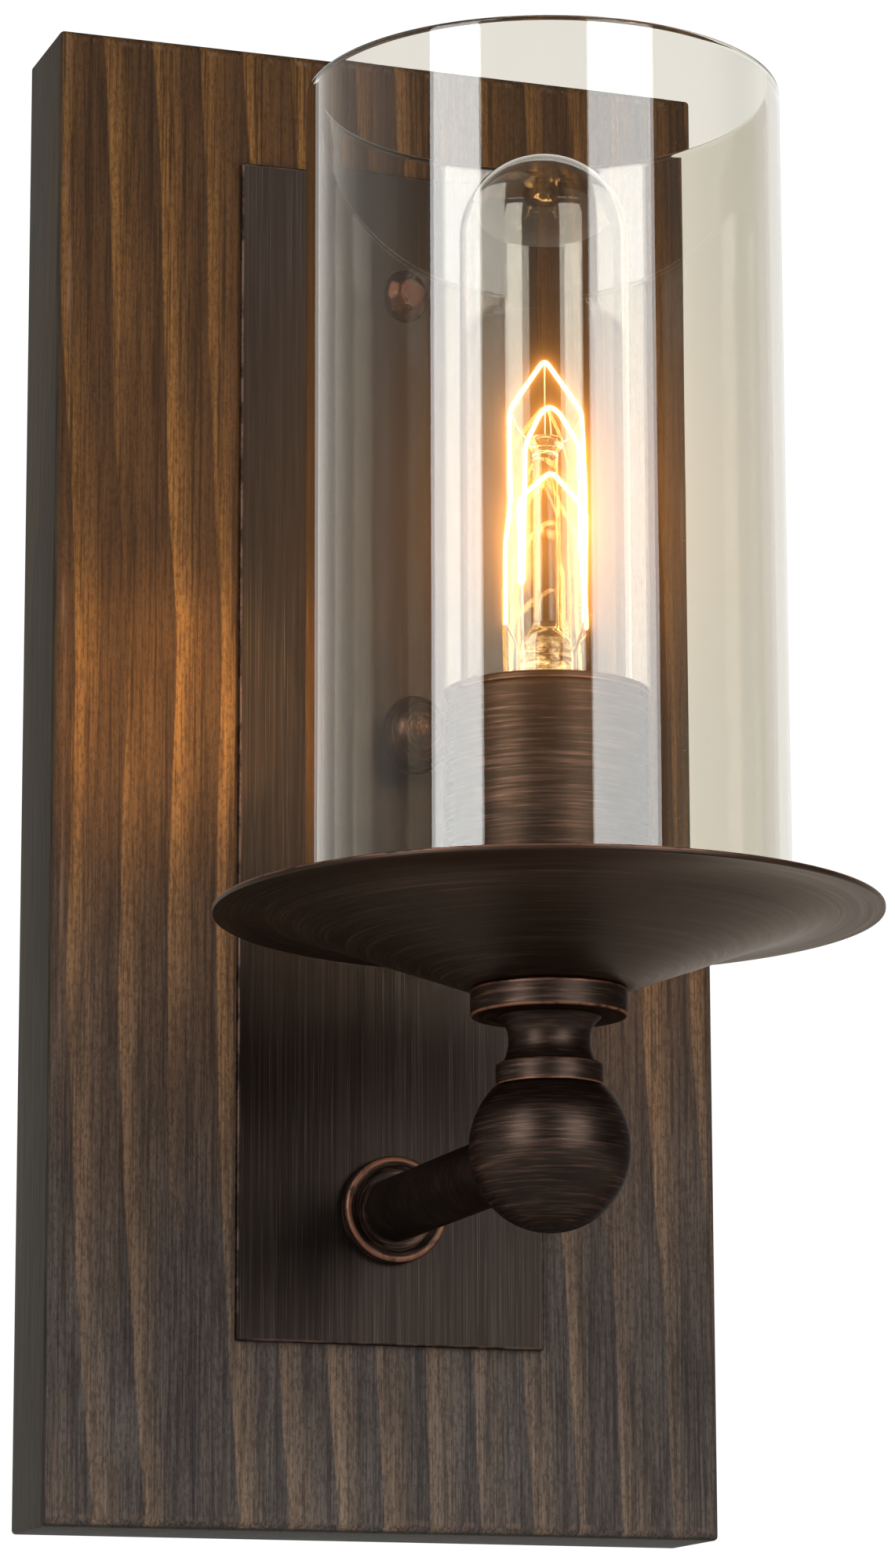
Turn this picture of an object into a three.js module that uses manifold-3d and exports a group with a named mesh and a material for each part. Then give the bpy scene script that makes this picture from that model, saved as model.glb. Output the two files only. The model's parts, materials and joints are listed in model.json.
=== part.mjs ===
// Wall sconce: a stained board with a bronze face plate carries one straight arm.
// The arm ends in a turned ball, and a neck on the ball holds a wide drip dish.
// A candle-style sleeve, a tubular lamp bulb and a loose glass cylinder stand on the dish.
//
// Millimetres, +Z up. The wall is the plane y = 0, the origin is the centre of the
// board's back face, and the column of dish, sleeve, bulb and glass stands at y = -REACH.
import * as THREE from 'three';
import { mergeVertices } from 'three/addons/utils/BufferGeometryUtils.js';
import Module from 'manifold-3d';

const wasm = await Module();
wasm.setup();

// ---- Clearances ----
const SEAT_GAP = 0.15; // between faces that rest on each other
const FIT_GAP = 0.3; // round a shank, pipe or thread in its hole
const SLIDE_GAP = 2.1; // round the lamp and its socket inside the sleeve

// ---- Board and face plate ----
const BOARD_WIDTH = 140;
const BOARD_HEIGHT = 303.5;
const BOARD_THICKNESS = 25;
const BOARD_EDGE_RADIUS = 2.5;
const RECESS_RADIUS = 52;
const RECESS_DEPTH = 16;
const ARM_POCKET_RADIUS = 15;
const WIRE_CHANNEL_WIDTH = 12;
const PLATE_WIDTH = 64;
const PLATE_HEIGHT = 241.5;
const PLATE_THICKNESS = 1.5;
const PLATE_RISE = 5.7; // plate's centre above the board's centre

// ---- Heights of the fixings on the plate, and the column's reach ----
const STUD_Z = 100.6;
const NUT_Z = 6.4;
const ARM_Z = -88.4;
const REACH = 118;

// ---- Hammered stud ----
const STUD_RADIUS = 5.7;
const STUD_HEIGHT = 3.6;
const STUD_SHANK_RADIUS = 1.8;
const STUD_SHANK_LENGTH = 18;
const STUD_FACETS = 9;

// ---- Crossbar on the wall box, with its screws ----
const CROSSBAR_LENGTH = 101;
const CROSSBAR_WIDTH = 20;
const CROSSBAR_THICKNESS = 2;
const CROSSBAR_SETBACK = 0.5;
const BOX_SCREW_SPACING = 88.9;
const BOX_SCREW_RADIUS = 2.0;
const BOX_SCREW_HEAD_RADIUS = 4.0;
const BOX_SCREW_HEAD_HEIGHT = 2.4;
const BOX_SCREW_REACH = 12; // behind the wall plane
const SLOT_LENGTH = 12;
const GROUND_SCREW_X = 22;

// ---- Threaded stud, its nuts and the round cap nut ----
const ROD_RADIUS = 2.05;
const ROD_IN_NUT = 9;
const ROD_NUT_ACROSS = 8;
const ROD_NUT_HEIGHT = 3.2;
const CAP_NUT_RADIUS = 8;
const CAP_NUT_FACE_RADIUS = 4.8;
const CAP_WASHER_RADIUS = 6.2;
const CAP_WASHER_THICKNESS = 0.8;

// ---- Arm ----
const FLANGE_RADIUS = 10.7;
const FLANGE_THICKNESS = 3.4;
const FLANGE_RIM_WIDTH = 1.4;
const FLANGE_DISHING = 0.7;
const ARM_RADIUS = 6.4;
const PIPE_RADIUS = 4.8;
const PIPE_BORE_RADIUS = 3.2;
const PIPE_IN_BALL = 7.5;
const PIPE_NUT_ACROSS = 14.3;
const PIPE_NUT_HEIGHT = 3.6;
const PIPE_WASHER_RADIUS = 10;
const PIPE_WASHER_THICKNESS = 1;
const BUSHING_RADIUS = 5.2;
const BUSHING_HEIGHT = 1.4;

// ---- Ball, collar, neck and seat disc ----
const BALL_RADIUS = 14.9;
const BALL_HALF_HEIGHT = 15.5;
const BALL_FLAT_MARGIN = 0.35; // flat on the ball's top beyond the collar
const COLLAR_RADIUS = 9.9;
const COLLAR_HEIGHT = 4.2;
const NECK_HEIGHT = 8.4;
const NECK_FOOT_RADIUS = 8.7;
const NECK_WAIST_RADIUS = 7.7;
const NECK_HEAD_RADIUS = 9.6;
const DISC_RADIUS = 14.5;
const DISC_HEIGHT = 5.0;

// ---- Drip dish ----
const DISH_RADIUS = 62.0;
const BRIM_WIDTH = 9.3;
const CONE_DEPTH = 13.8;
const DISH_SKIN = 1.1;

// ---- Socket (medium screw base) ----
const DISH_WASHER_RADIUS = 11;
const DISH_WASHER_THICKNESS = 1.2;
const STRAP_EDGE = 0.9; // strap's metal beside the pipe's hole
const STRAP_THICKNESS = 1.4;
const SOCKET_LIFT = 7; // strap's foot to the socket's underside
const SOCKET_RADIUS = 15.4;
const SOCKET_HEIGHT = 33;
const SOCKET_FLOOR = 6;
const SCREW_SHELL_RADIUS = 13.9;
const SCREW_SHELL_WALL = 0.5;
const SOCKET_LIP = 0.8;
const CONTACT_WIDTH = 6;
const TERMINAL_RISE = 3; // screws' axis above the socket's underside
const TERMINAL_INSET = 4.9; // groove's floor behind the socket's side
const TERMINAL_HEAD_RADIUS = 2.4;

// ---- Candle sleeve, lamp bulb and glass cylinder ----
const SLEEVE_WALL = 1.2;
const SLEEVE_TOP = 42.0; // above the dish's brim
const BULB_RADIUS = 16.0;
const BULB_TOP = 146.2; // above the dish's brim
const BULB_SKIN = 0.9;
const BULB_TAPER = 12;
const BULB_NECK_DEPTH = 6; // glass neck inside the base shell
const BULB_NECK_RADIUS = 12.3;
const BASE_SHELL_RADIUS = 13.0;
const BASE_SHELL_WALL = 0.4;
const BASE_SHELL_HEIGHT = 17;
const BASE_INSULATOR_HEIGHT = 4.5;
const BASE_TIP_RADIUS = 4.2;
const BASE_TIP_HEIGHT = 1.6;
const BULB_SEAT_DROP = 1; // bulb's base rim below the socket's top
const STEM_FOOT_RADIUS = 8.5;
const STEM_TUBE_RADIUS = 5;
const STEM_TUBE_HEIGHT = 27; // foot to the pinch
const STEM_ROD_RADIUS = 2.5;
const STEM_HEIGHT = 65;
const STEM_BUTTON_RADIUS = 3.6;
const LEAD_RADIUS = 0.4;
const LEAD_ROOT = 5.8; // lead's distance from the axis where it leaves the stem
const FILAMENT_RADIUS = 0.4;
const FILAMENT_FOOT = 53.5; // above the dish's brim
const FILAMENT_SPREAD = 8.2;
const FILAMENT_DEPTH = 5;
const FILAMENT_SHOULDER = 41.5; // above the filament's foot
const FILAMENT_PEAK = 53.5;
const FILAMENT_BACK_PEAK = 43.5;
const FILAMENT_FRONT_PEAK = 31.5;
const FILAMENT_STRAND_DROP = 12; // from a peak to the shoulder of its strands
const GLASS_RADIUS = 45.0;
const GLASS_WALL = 2.2;
const GLASS_TOP = 158.8; // above the dish's brim

// ---- Mesh fineness ----
const FINE = 48;
const ROUND = 28;
const SMALL = 16;

// ---- Places worked out from the sizes ----
const FRONT = BOARD_THICKNESS + SEAT_GAP;
const PLATE_FRONT = FRONT + PLATE_THICKNESS;
const CROSSBAR_FRONT = CROSSBAR_SETBACK + CROSSBAR_THICKNESS;
const BALL_FLAT_RADIUS = COLLAR_RADIUS + BALL_FLAT_MARGIN;
const BALL_FLAT = BALL_HALF_HEIGHT * Math.sqrt(1 - (BALL_FLAT_RADIUS / BALL_RADIUS) ** 2);
const COLLAR_Z = ARM_Z + BALL_FLAT + SEAT_GAP;
const NECK_Z = COLLAR_Z + COLLAR_HEIGHT + SEAT_GAP;
const DISC_Z = NECK_Z + NECK_HEIGHT + SEAT_GAP;
const HUB_Z = DISC_Z + DISC_HEIGHT + SEAT_GAP;
const BRIM_Z = HUB_Z + CONE_DEPTH;
const CREASE_RADIUS = DISH_RADIUS - BRIM_WIDTH;
const CONE_SLOPE = CONE_DEPTH / (CREASE_RADIUS - DISC_RADIUS);
const DISH_WASHER_Z = HUB_Z + DISH_SKIN + SEAT_GAP;
const DISH_NUT_Z = DISH_WASHER_Z + DISH_WASHER_THICKNESS + SEAT_GAP;
const STRAP_Z = DISH_NUT_Z + PIPE_NUT_HEIGHT + SEAT_GAP;
const SOCKET_Z = STRAP_Z + SOCKET_LIFT;
const SOCKET_TOP = SOCKET_Z + SOCKET_HEIGHT;
const SLEEVE_BORE_RADIUS = Math.max(BULB_RADIUS, SOCKET_RADIUS) + SLIDE_GAP;
const SLEEVE_RADIUS = SLEEVE_BORE_RADIUS + SLEEVE_WALL;
const BASE_TOP = SOCKET_TOP - BULB_SEAT_DROP;
const BASE_SHELL_Z = BASE_TOP - BASE_SHELL_HEIGHT;
const BASE_TIP_Z = BASE_SHELL_Z - BASE_INSULATOR_HEIGHT - BASE_TIP_HEIGHT;
const BULB_NECK_Z = BASE_TOP - BULB_NECK_DEPTH;
const BULB_SHOULDER_Z = BASE_TOP + 0.5;
const BULB_TOP_Z = BRIM_Z + BULB_TOP;
const GLASS_TOP_Z = BRIM_Z + GLASS_TOP;

// ---- Materials ----
const finish = (color, roughness, metalness, extra = {}) =>
  new THREE.MeshStandardMaterial({ color, roughness, metalness, ...extra });
const materials = {
  wood: () => finish('#4a3420', 0.7, 0),
  plate: () => finish('#2f2826', 0.42, 0.9),
  bronze: () => finish('#33261f', 0.36, 0.9),
  copper: () => finish('#5a3324', 0.38, 0.9),
  dish: () => finish('#2a241d', 0.4, 0.85),
  steel: () => finish('#a9abad', 0.35, 1),
  ground: () => finish('#2f7a4a', 0.4, 0.8),
  brass: () => finish('#b08d4a', 0.35, 1),
  phenolic: () => finish('#1b1a19', 0.55, 0),
  plastic: () => finish('#20201f', 0.5, 0),
  clear: () => finish('#e8ecea', 0.05, 0, { transparent: true, opacity: 0.3 }),
  glow: () => finish('#ffb45a', 0.5, 0, { emissive: '#ff9a3a' }),
};

// ---- Solids ----
function signedVolume(geometry) {
  const positions = geometry.getAttribute('position');
  const index = geometry.getIndex();
  const corner = [new THREE.Vector3(), new THREE.Vector3(), new THREE.Vector3()];
  let total = 0;
  for (let i = 0; i < index.count; i += 3) {
    corner.forEach((point, k) => point.fromBufferAttribute(positions, index.getX(i + k)));
    total += corner[0].dot(corner[1].clone().cross(corner[2]));
  }
  return total;
}

function closed(geometry) {
  const bare = geometry.clone();
  bare.deleteAttribute('normal');
  bare.deleteAttribute('uv');
  const merged = mergeVertices(bare, 1e-4);
  if (signedVolume(merged) < 0) {
    const order = merged.getIndex().array;
    for (let i = 0; i < order.length; i += 3) {
      [order[i + 1], order[i + 2]] = [order[i + 2], order[i + 1]];
    }
  }
  return merged;
}

function toSolid(geometry) {
  const merged = closed(geometry);
  return new wasm.Manifold(
    new wasm.Mesh({
      numProp: 3,
      vertProperties: new Float32Array(merged.getAttribute('position').array),
      triVerts: new Uint32Array(merged.getIndex().array),
    }),
  );
}

function toGeometry(solid) {
  const mesh = solid.getMesh();
  const geometry = new THREE.BufferGeometry();
  geometry.setAttribute('position', new THREE.BufferAttribute(mesh.vertProperties, 3));
  geometry.setIndex(new THREE.BufferAttribute(mesh.triVerts, 1));
  return geometry;
}

const cut = (body, ...tools) =>
  toGeometry(tools.reduce((solid, tool) => solid.subtract(toSolid(tool)), toSolid(body)));
const join = (...bodies) =>
  toGeometry(bodies.slice(1).reduce((solid, body) => solid.add(toSolid(body)), toSolid(bodies[0])));

const root = new THREE.Group();

function place(name, geometry, material, x = 0, y = 0, z = 0) {
  const mesh = new THREE.Mesh(closed(geometry), material);
  mesh.name = name;
  mesh.position.set(x, y, z);
  root.add(mesh);
  return mesh;
}

// Profiles are [radius, distance along the axis] pairs.
const turned = (profile, segments) =>
  new THREE.LatheGeometry(profile.map(([r, along]) => new THREE.Vector2(r, along)), segments);
const turnedUp = (profile, segments) => turned(profile, segments).rotateX(Math.PI / 2);
const turnedOut = (profile, segments) => turned(profile, segments).rotateX(Math.PI);

const solidRod = (radius, from, to) => [
  [0, from],
  [radius, from],
  [radius, to],
  [0, to],
];
const ring = (inner, outer, from, to) => [
  [inner, from],
  [outer, from],
  [outer, to],
  [inner, to],
  [inner, from],
];
const arc = (count, point) => Array.from({ length: count + 1 }, (_, i) => point(i / count));

function rectangle(width, height) {
  const outline = new THREE.Shape();
  outline.moveTo(-width / 2, -height / 2);
  outline.lineTo(width / 2, -height / 2);
  outline.lineTo(width / 2, height / 2);
  outline.lineTo(-width / 2, height / 2);
  outline.closePath();
  return outline;
}

function circleHole(x, z, radius) {
  const hole = new THREE.Path();
  hole.absarc(x, z, radius, 0, Math.PI * 2, true);
  return hole;
}

function slotHole(x, z, halfWidth, length) {
  const half = length / 2 - halfWidth;
  const hole = new THREE.Path();
  hole.absarc(x - half, z, halfWidth, Math.PI / 2, Math.PI * 1.5, false);
  hole.absarc(x + half, z, halfWidth, -Math.PI / 2, Math.PI / 2, false);
  hole.closePath();
  return hole;
}

// A sheet outlined in x and z, its back face at the given distance from the wall.
const sheet = (outline, thickness, back) =>
  new THREE.ExtrudeGeometry(outline, { depth: thickness, bevelEnabled: false, curveSegments: 10 })
    .rotateX(Math.PI / 2)
    .translate(0, -back, 0);

function hexagon(across, boreRadius) {
  const corner = across / Math.sqrt(3);
  const outline = new THREE.Shape();
  for (let i = 0; i < 6; i += 1) {
    const angle = (i * Math.PI) / 3;
    const step = i === 0 ? 'moveTo' : 'lineTo';
    outline[step](corner * Math.cos(angle), corner * Math.sin(angle));
  }
  outline.closePath();
  outline.holes.push(circleHole(0, 0, boreRadius));
  return outline;
}

// ---- Board ----
// A block whose front edges are rounded over; the back edges stay square.
function roundedFrontBlock(width, height, thickness, radius) {
  const flat = { inset: 0, depth: 0 };
  const roundOver = arc(4, (t) => ({
    inset: radius * (1 - Math.cos((t * Math.PI) / 2)),
    depth: thickness - radius + radius * Math.sin((t * Math.PI) / 2),
  }));
  const levels = [flat, ...roundOver];
  const positions = [];
  const index = [];
  levels.forEach(({ inset, depth }) => {
    const x = width / 2 - inset;
    const z = height / 2 - inset;
    positions.push(-x, -depth, -z, x, -depth, -z, x, -depth, z, -x, -depth, z);
  });
  levels.slice(1).forEach((_, level) => {
    for (let side = 0; side < 4; side += 1) {
      const a = level * 4 + side;
      const b = level * 4 + ((side + 1) % 4);
      index.push(a, b, b + 4, a, b + 4, a + 4);
    }
  });
  const last = (levels.length - 1) * 4;
  index.push(0, 2, 1, 0, 3, 2, last, last + 1, last + 2, last, last + 2, last + 3);
  const geometry = new THREE.BufferGeometry();
  geometry.setAttribute('position', new THREE.Float32BufferAttribute(positions, 3));
  geometry.setIndex(index);
  return geometry;
}

function backBoard() {
  const block = roundedFrontBlock(
    BOARD_WIDTH,
    BOARD_HEIGHT,
    BOARD_THICKNESS,
    BOARD_EDGE_RADIUS,
  );
  const over = 1;
  const bore = (radius, from, to, z, segments) =>
    turnedOut(solidRod(radius, from, to), segments).translate(0, 0, z);
  const recess = bore(RECESS_RADIUS, -over, RECESS_DEPTH, NUT_Z, FINE);
  const pocket = bore(ARM_POCKET_RADIUS, -over, RECESS_DEPTH, ARM_Z, SMALL);
  const channelHeight = NUT_Z - ARM_Z;
  const channel = new THREE.BoxGeometry(
    WIRE_CHANNEL_WIDTH,
    RECESS_DEPTH + over,
    channelHeight,
  ).translate(0, (over - RECESS_DEPTH) / 2, (NUT_Z + ARM_Z) / 2);
  const through = BOARD_THICKNESS + over;
  const rodHole = bore(ROD_RADIUS + FIT_GAP, -over, through, NUT_Z, SMALL);
  const pipeHole = bore(PIPE_RADIUS + FIT_GAP, -over, through, ARM_Z, SMALL);
  const shankTip = FRONT + PLATE_THICKNESS - STUD_SHANK_LENGTH - FIT_GAP;
  const nailHole = bore(STUD_SHANK_RADIUS + FIT_GAP, shankTip, through, STUD_Z, SMALL);
  return cut(block, recess, pocket, channel, rodHole, pipeHole, nailHole);
}

// ---- Face plate ----
function facePlate() {
  const outline = rectangle(PLATE_WIDTH, PLATE_HEIGHT);
  const drop = PLATE_RISE;
  outline.holes.push(circleHole(0, STUD_Z - drop, STUD_SHANK_RADIUS + FIT_GAP));
  outline.holes.push(circleHole(0, NUT_Z - drop, ROD_RADIUS + FIT_GAP));
  outline.holes.push(circleHole(0, ARM_Z - drop, PIPE_RADIUS + FIT_GAP));
  return sheet(outline, PLATE_THICKNESS, FRONT).translate(0, 0, drop);
}

// ---- Hammered stud ----
function hammeredStud() {
  const base = PLATE_FRONT + SEAT_GAP;
  const head = arc(3, (t) => [
    STUD_RADIUS * Math.cos((t * Math.PI) / 2),
    base + 0.8 + (STUD_HEIGHT - 0.8) * Math.sin((t * Math.PI) / 2),
  ]);
  head[head.length - 1][0] = 0;
  const tip = PLATE_FRONT - STUD_SHANK_LENGTH;
  const profile = [
    [0, tip],
    [STUD_SHANK_RADIUS, tip + 3],
    [STUD_SHANK_RADIUS, base],
    [STUD_RADIUS, base],
    ...head,
  ];
  return turnedOut(profile, STUD_FACETS);
}

// ---- Crossbar and its screws ----
function crossbar() {
  const half = CROSSBAR_LENGTH / 2;
  const end = CROSSBAR_WIDTH / 2;
  const outline = new THREE.Shape();
  outline.absarc(half - end, 0, end, -Math.PI / 2, Math.PI / 2, false);
  outline.absarc(end - half, 0, end, Math.PI / 2, Math.PI * 1.5, false);
  outline.closePath();
  outline.holes.push(circleHole(0, 0, ROD_RADIUS + FIT_GAP));
  outline.holes.push(circleHole(GROUND_SCREW_X, 0, BOX_SCREW_RADIUS + FIT_GAP));
  [-1, 1].forEach((side) => {
    const x = (side * BOX_SCREW_SPACING) / 2;
    outline.holes.push(slotHole(x, 0, BOX_SCREW_RADIUS + FIT_GAP, SLOT_LENGTH));
  });
  return sheet(outline, CROSSBAR_THICKNESS, CROSSBAR_SETBACK);
}

function panScrew(tip, headBase) {
  const crown = headBase + BOX_SCREW_HEAD_HEIGHT;
  return turnedOut(
    [
      [0, tip],
      [BOX_SCREW_RADIUS, tip],
      [BOX_SCREW_RADIUS, headBase],
      [BOX_SCREW_HEAD_RADIUS, headBase],
      [BOX_SCREW_HEAD_RADIUS, crown - 1],
      [BOX_SCREW_HEAD_RADIUS - 1.4, crown],
      [0, crown],
    ],
    SMALL,
  );
}

// ---- Round cap nut on the threaded stud ----
function capNut(base) {
  const faceDepth = Math.sqrt(CAP_NUT_RADIUS ** 2 - CAP_NUT_FACE_RADIUS ** 2);
  const centre = base + faceDepth;
  const boreEnd = base + ROD_IN_NUT + 1;
  const start = Math.acos(faceDepth / CAP_NUT_RADIUS);
  const dome = arc(12, (t) => {
    const angle = start + (Math.PI - start) * t;
    return [CAP_NUT_RADIUS * Math.sin(angle), centre - CAP_NUT_RADIUS * Math.cos(angle)];
  });
  dome[dome.length - 1][0] = 0;
  return turnedOut(
    [[0, boreEnd], [ROD_RADIUS + FIT_GAP, boreEnd], [ROD_RADIUS + FIT_GAP, base], ...dome],
    SMALL,
  );
}

// ---- Arm ----
function armFlange(back) {
  const crown = back + FLANGE_THICKNESS;
  const bore = PIPE_RADIUS + FIT_GAP;
  const rimInner = FLANGE_RADIUS - FLANGE_RIM_WIDTH;
  return turnedOut(
    [
      [bore, back],
      [FLANGE_RADIUS, back],
      [FLANGE_RADIUS, crown - 0.7],
      [FLANGE_RADIUS - 0.6, crown],
      [rimInner, crown],
      [rimInner - 1, crown - FLANGE_DISHING],
      [bore, crown - FLANGE_DISHING],
      [bore, back],
    ],
    ROUND,
  );
}

// The ball is slightly taller than wide. Its top is faced flat for the collar, one bore
// enters from the wall side for the arm's pipe and another from above for the column's.
function armBall() {
  const start = Math.asin(BALL_FLAT_RADIUS / BALL_RADIUS);
  const profile = arc(18, (t) => {
    const angle = start + (Math.PI - start) * t;
    return [BALL_RADIUS * Math.sin(angle), BALL_HALF_HEIGHT * Math.cos(angle)];
  });
  profile[profile.length - 1][0] = 0;
  const ball = turnedUp([[0, BALL_FLAT], ...profile], ROUND);
  const bore = PIPE_RADIUS + FIT_GAP;
  const sideBore = turnedOut(solidRod(bore, -BALL_RADIUS - 5, 0), SMALL);
  const topBore = turnedUp(solidRod(bore, 0, BALL_HALF_HEIGHT + 5), SMALL);
  const armSeat = Math.sqrt(BALL_RADIUS ** 2 - ARM_RADIUS ** 2);
  const spotFace = turnedOut(solidRod(ARM_RADIUS + FIT_GAP, -BALL_RADIUS - 5, -armSeat), SMALL);
  return cut(ball, sideBore, topBore, spotFace);
}

function neckSpool() {
  const waist = NECK_HEIGHT * 0.45;
  const lower = arc(5, (t) => [
    NECK_WAIST_RADIUS + (NECK_FOOT_RADIUS - NECK_WAIST_RADIUS) * (1 - t) ** 2,
    waist * t,
  ]);
  const upper = arc(6, (t) => [
    NECK_WAIST_RADIUS + (NECK_HEAD_RADIUS - NECK_WAIST_RADIUS) * t ** 3,
    waist + (NECK_HEIGHT - waist) * t,
  ]).slice(1);
  const bore = PIPE_RADIUS + FIT_GAP;
  return turnedUp([[bore, 0], ...lower, ...upper, [bore, NECK_HEIGHT], [bore, 0]], ROUND);
}

// Height of the dish's upper face above its hub face, at a radius.
const dishRise = (radius) =>
  DISH_SKIN + Math.min(Math.max(radius - DISC_RADIUS, 0) * CONE_SLOPE, CONE_DEPTH);

function dripDish() {
  const bore = PIPE_RADIUS + FIT_GAP;
  const under = (radius) => [radius, dishRise(radius) - DISH_SKIN];
  const upper = (radius) => [radius, dishRise(radius)];
  const profile = [
    under(bore),
    under(DISC_RADIUS),
    under(CREASE_RADIUS),
    under(DISH_RADIUS - 0.4),
    [DISH_RADIUS, CONE_DEPTH + DISH_SKIN * 0.35],
    [DISH_RADIUS, CONE_DEPTH + DISH_SKIN * 0.65],
    upper(DISH_RADIUS - 0.4),
    upper(CREASE_RADIUS),
    upper(DISC_RADIUS),
    upper(bore),
    under(bore),
  ];
  return turnedUp(profile, FINE);
}

// ---- Socket ----
// Strap: a foot clamped on the pipe with one leg bent up beside the socket's floor.
function socketStrap() {
  const reach = SOCKET_RADIUS - 3;
  const width = (PIPE_RADIUS + FIT_GAP + STRAP_EDGE) * 2;
  const foot = new THREE.BoxGeometry(reach * 2, width, STRAP_THICKNESS);
  const legHeight = SOCKET_LIFT - SEAT_GAP;
  const leg = (side) =>
    new THREE.BoxGeometry(STRAP_THICKNESS, width, legHeight).translate(
      side * (reach - STRAP_THICKNESS / 2),
      0,
      (legHeight - STRAP_THICKNESS) / 2,
    );
  const strap = join(foot, leg(-1), leg(1));
  const bore = turnedUp(solidRod(PIPE_RADIUS + FIT_GAP, -3, 3), SMALL);
  return cut(strap, bore).translate(0, 0, STRAP_THICKNESS / 2);
}

// Body: a cup with a floor, and a groove each side for the terminal screws.
function socketBody() {
  const bore = SCREW_SHELL_RADIUS + FIT_GAP;
  const cup = turnedUp(
    [
      [0, 0],
      [SOCKET_RADIUS - 1, 0],
      [SOCKET_RADIUS, 1],
      [SOCKET_RADIUS, SOCKET_HEIGHT - SOCKET_LIP],
      [SOCKET_RADIUS - SOCKET_LIP, SOCKET_HEIGHT],
      [bore, SOCKET_HEIGHT],
      [bore, SOCKET_FLOOR],
      [0, SOCKET_FLOOR],
    ],
    ROUND,
  );
  const groove = (side) =>
    turned(solidRod(TERMINAL_HEAD_RADIUS + FIT_GAP, 0, 6), SMALL)
      .rotateZ(-Math.PI / 2)
      .scale(side, 1, 1)
      .translate(side * (SOCKET_RADIUS - TERMINAL_INSET), 0, TERMINAL_RISE);
  return cut(cup, groove(-1), groove(1));
}

const screwShell = () =>
  turnedUp(
    [
      [SCREW_SHELL_RADIUS - 3, 0],
      [SCREW_SHELL_RADIUS, 0],
      [SCREW_SHELL_RADIUS, SOCKET_HEIGHT - SOCKET_FLOOR - 2],
      [SCREW_SHELL_RADIUS - SCREW_SHELL_WALL, SOCKET_HEIGHT - SOCKET_FLOOR - 2],
      [SCREW_SHELL_RADIUS - SCREW_SHELL_WALL, SCREW_SHELL_WALL],
      [SCREW_SHELL_RADIUS - 3, SCREW_SHELL_WALL],
      [SCREW_SHELL_RADIUS - 3, 0],
    ],
    ROUND,
  );

// Centre contact: a bent tongue that springs up against the bulb's tip.
function contactTongue(rise) {
  const half = SCREW_SHELL_RADIUS - 5;
  const thickness = 0.5;
  const outline = new THREE.Shape();
  outline.moveTo(-half, 0);
  outline.lineTo(-half + 4, 0);
  outline.lineTo(-1, rise - thickness);
  outline.lineTo(3, rise - thickness);
  outline.lineTo(3, rise);
  outline.lineTo(-1.2, rise);
  outline.lineTo(-half + 3.8, thickness);
  outline.lineTo(-half, thickness);
  outline.closePath();
  return new THREE.ExtrudeGeometry(outline, { depth: CONTACT_WIDTH, bevelEnabled: false })
    .rotateX(Math.PI / 2)
    .translate(0, CONTACT_WIDTH / 2, 0);
}

const terminalScrew = (side) =>
  turned(
    [
      [0, 0],
      [TERMINAL_HEAD_RADIUS, 0],
      [TERMINAL_HEAD_RADIUS, 1.2],
      [TERMINAL_HEAD_RADIUS - 0.8, 1.8],
      [0, 1.8],
    ],
    SMALL,
  )
    .rotateZ(-Math.PI / 2)
    .scale(side, 1, 1);

// ---- Bulb ----
// Envelope: a tube with a domed top that tapers to an open neck in the base.
function bulbEnvelope() {
  const taperTop = BULB_SHOULDER_Z + BULB_TAPER;
  const domeZ = BULB_TOP_Z - BULB_RADIUS;
  const wall = [
    [BULB_NECK_RADIUS, BULB_NECK_Z],
    ...arc(5, (t) => [
      BULB_NECK_RADIUS + (BULB_RADIUS - BULB_NECK_RADIUS) * (3 * t * t - 2 * t * t * t),
      BULB_SHOULDER_Z + BULB_TAPER * t,
    ]),
    ...arc(9, (t) => [
      BULB_RADIUS * Math.cos((t * Math.PI) / 2),
      domeZ + BULB_RADIUS * Math.sin((t * Math.PI) / 2),
    ]),
  ];
  wall[wall.length - 1][0] = 0;
  const innerRadius = BULB_RADIUS - BULB_SKIN;
  const neckInner = BULB_NECK_RADIUS - BULB_SKIN;
  const inside = [
    ...arc(8, (t) => [
      innerRadius * Math.sin((t * Math.PI) / 2),
      domeZ + innerRadius * Math.cos((t * Math.PI) / 2),
    ]),
    [innerRadius, taperTop],
    [neckInner, BULB_SHOULDER_Z],
    [neckInner, BULB_NECK_Z],
    [BULB_NECK_RADIUS, BULB_NECK_Z],
  ];
  inside[0][0] = 0;
  return turnedUp([...wall, ...inside], ROUND);
}

// Base shell: the screwed brass skirt, open at both ends.
const baseShell = () =>
  turnedUp(
    ring(BASE_SHELL_RADIUS - BASE_SHELL_WALL, BASE_SHELL_RADIUS, BASE_SHELL_Z, BASE_TOP),
    ROUND,
  );

const baseInsulator = () =>
  turnedUp(
    [
      [0, BASE_SHELL_Z - BASE_INSULATOR_HEIGHT],
      [BASE_TIP_RADIUS + 1, BASE_SHELL_Z - BASE_INSULATOR_HEIGHT],
      [BASE_SHELL_RADIUS - 1.5, BASE_SHELL_Z - SEAT_GAP],
      [0, BASE_SHELL_Z - SEAT_GAP],
    ],
    SMALL,
  );

const baseTip = () =>
  turnedUp(
    [
      [0, BASE_TIP_Z],
      [BASE_TIP_RADIUS - 1.5, BASE_TIP_Z],
      [BASE_TIP_RADIUS, BASE_TIP_Z + BASE_TIP_HEIGHT - SEAT_GAP],
      [0, BASE_TIP_Z + BASE_TIP_HEIGHT - SEAT_GAP],
    ],
    SMALL,
  );

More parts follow.
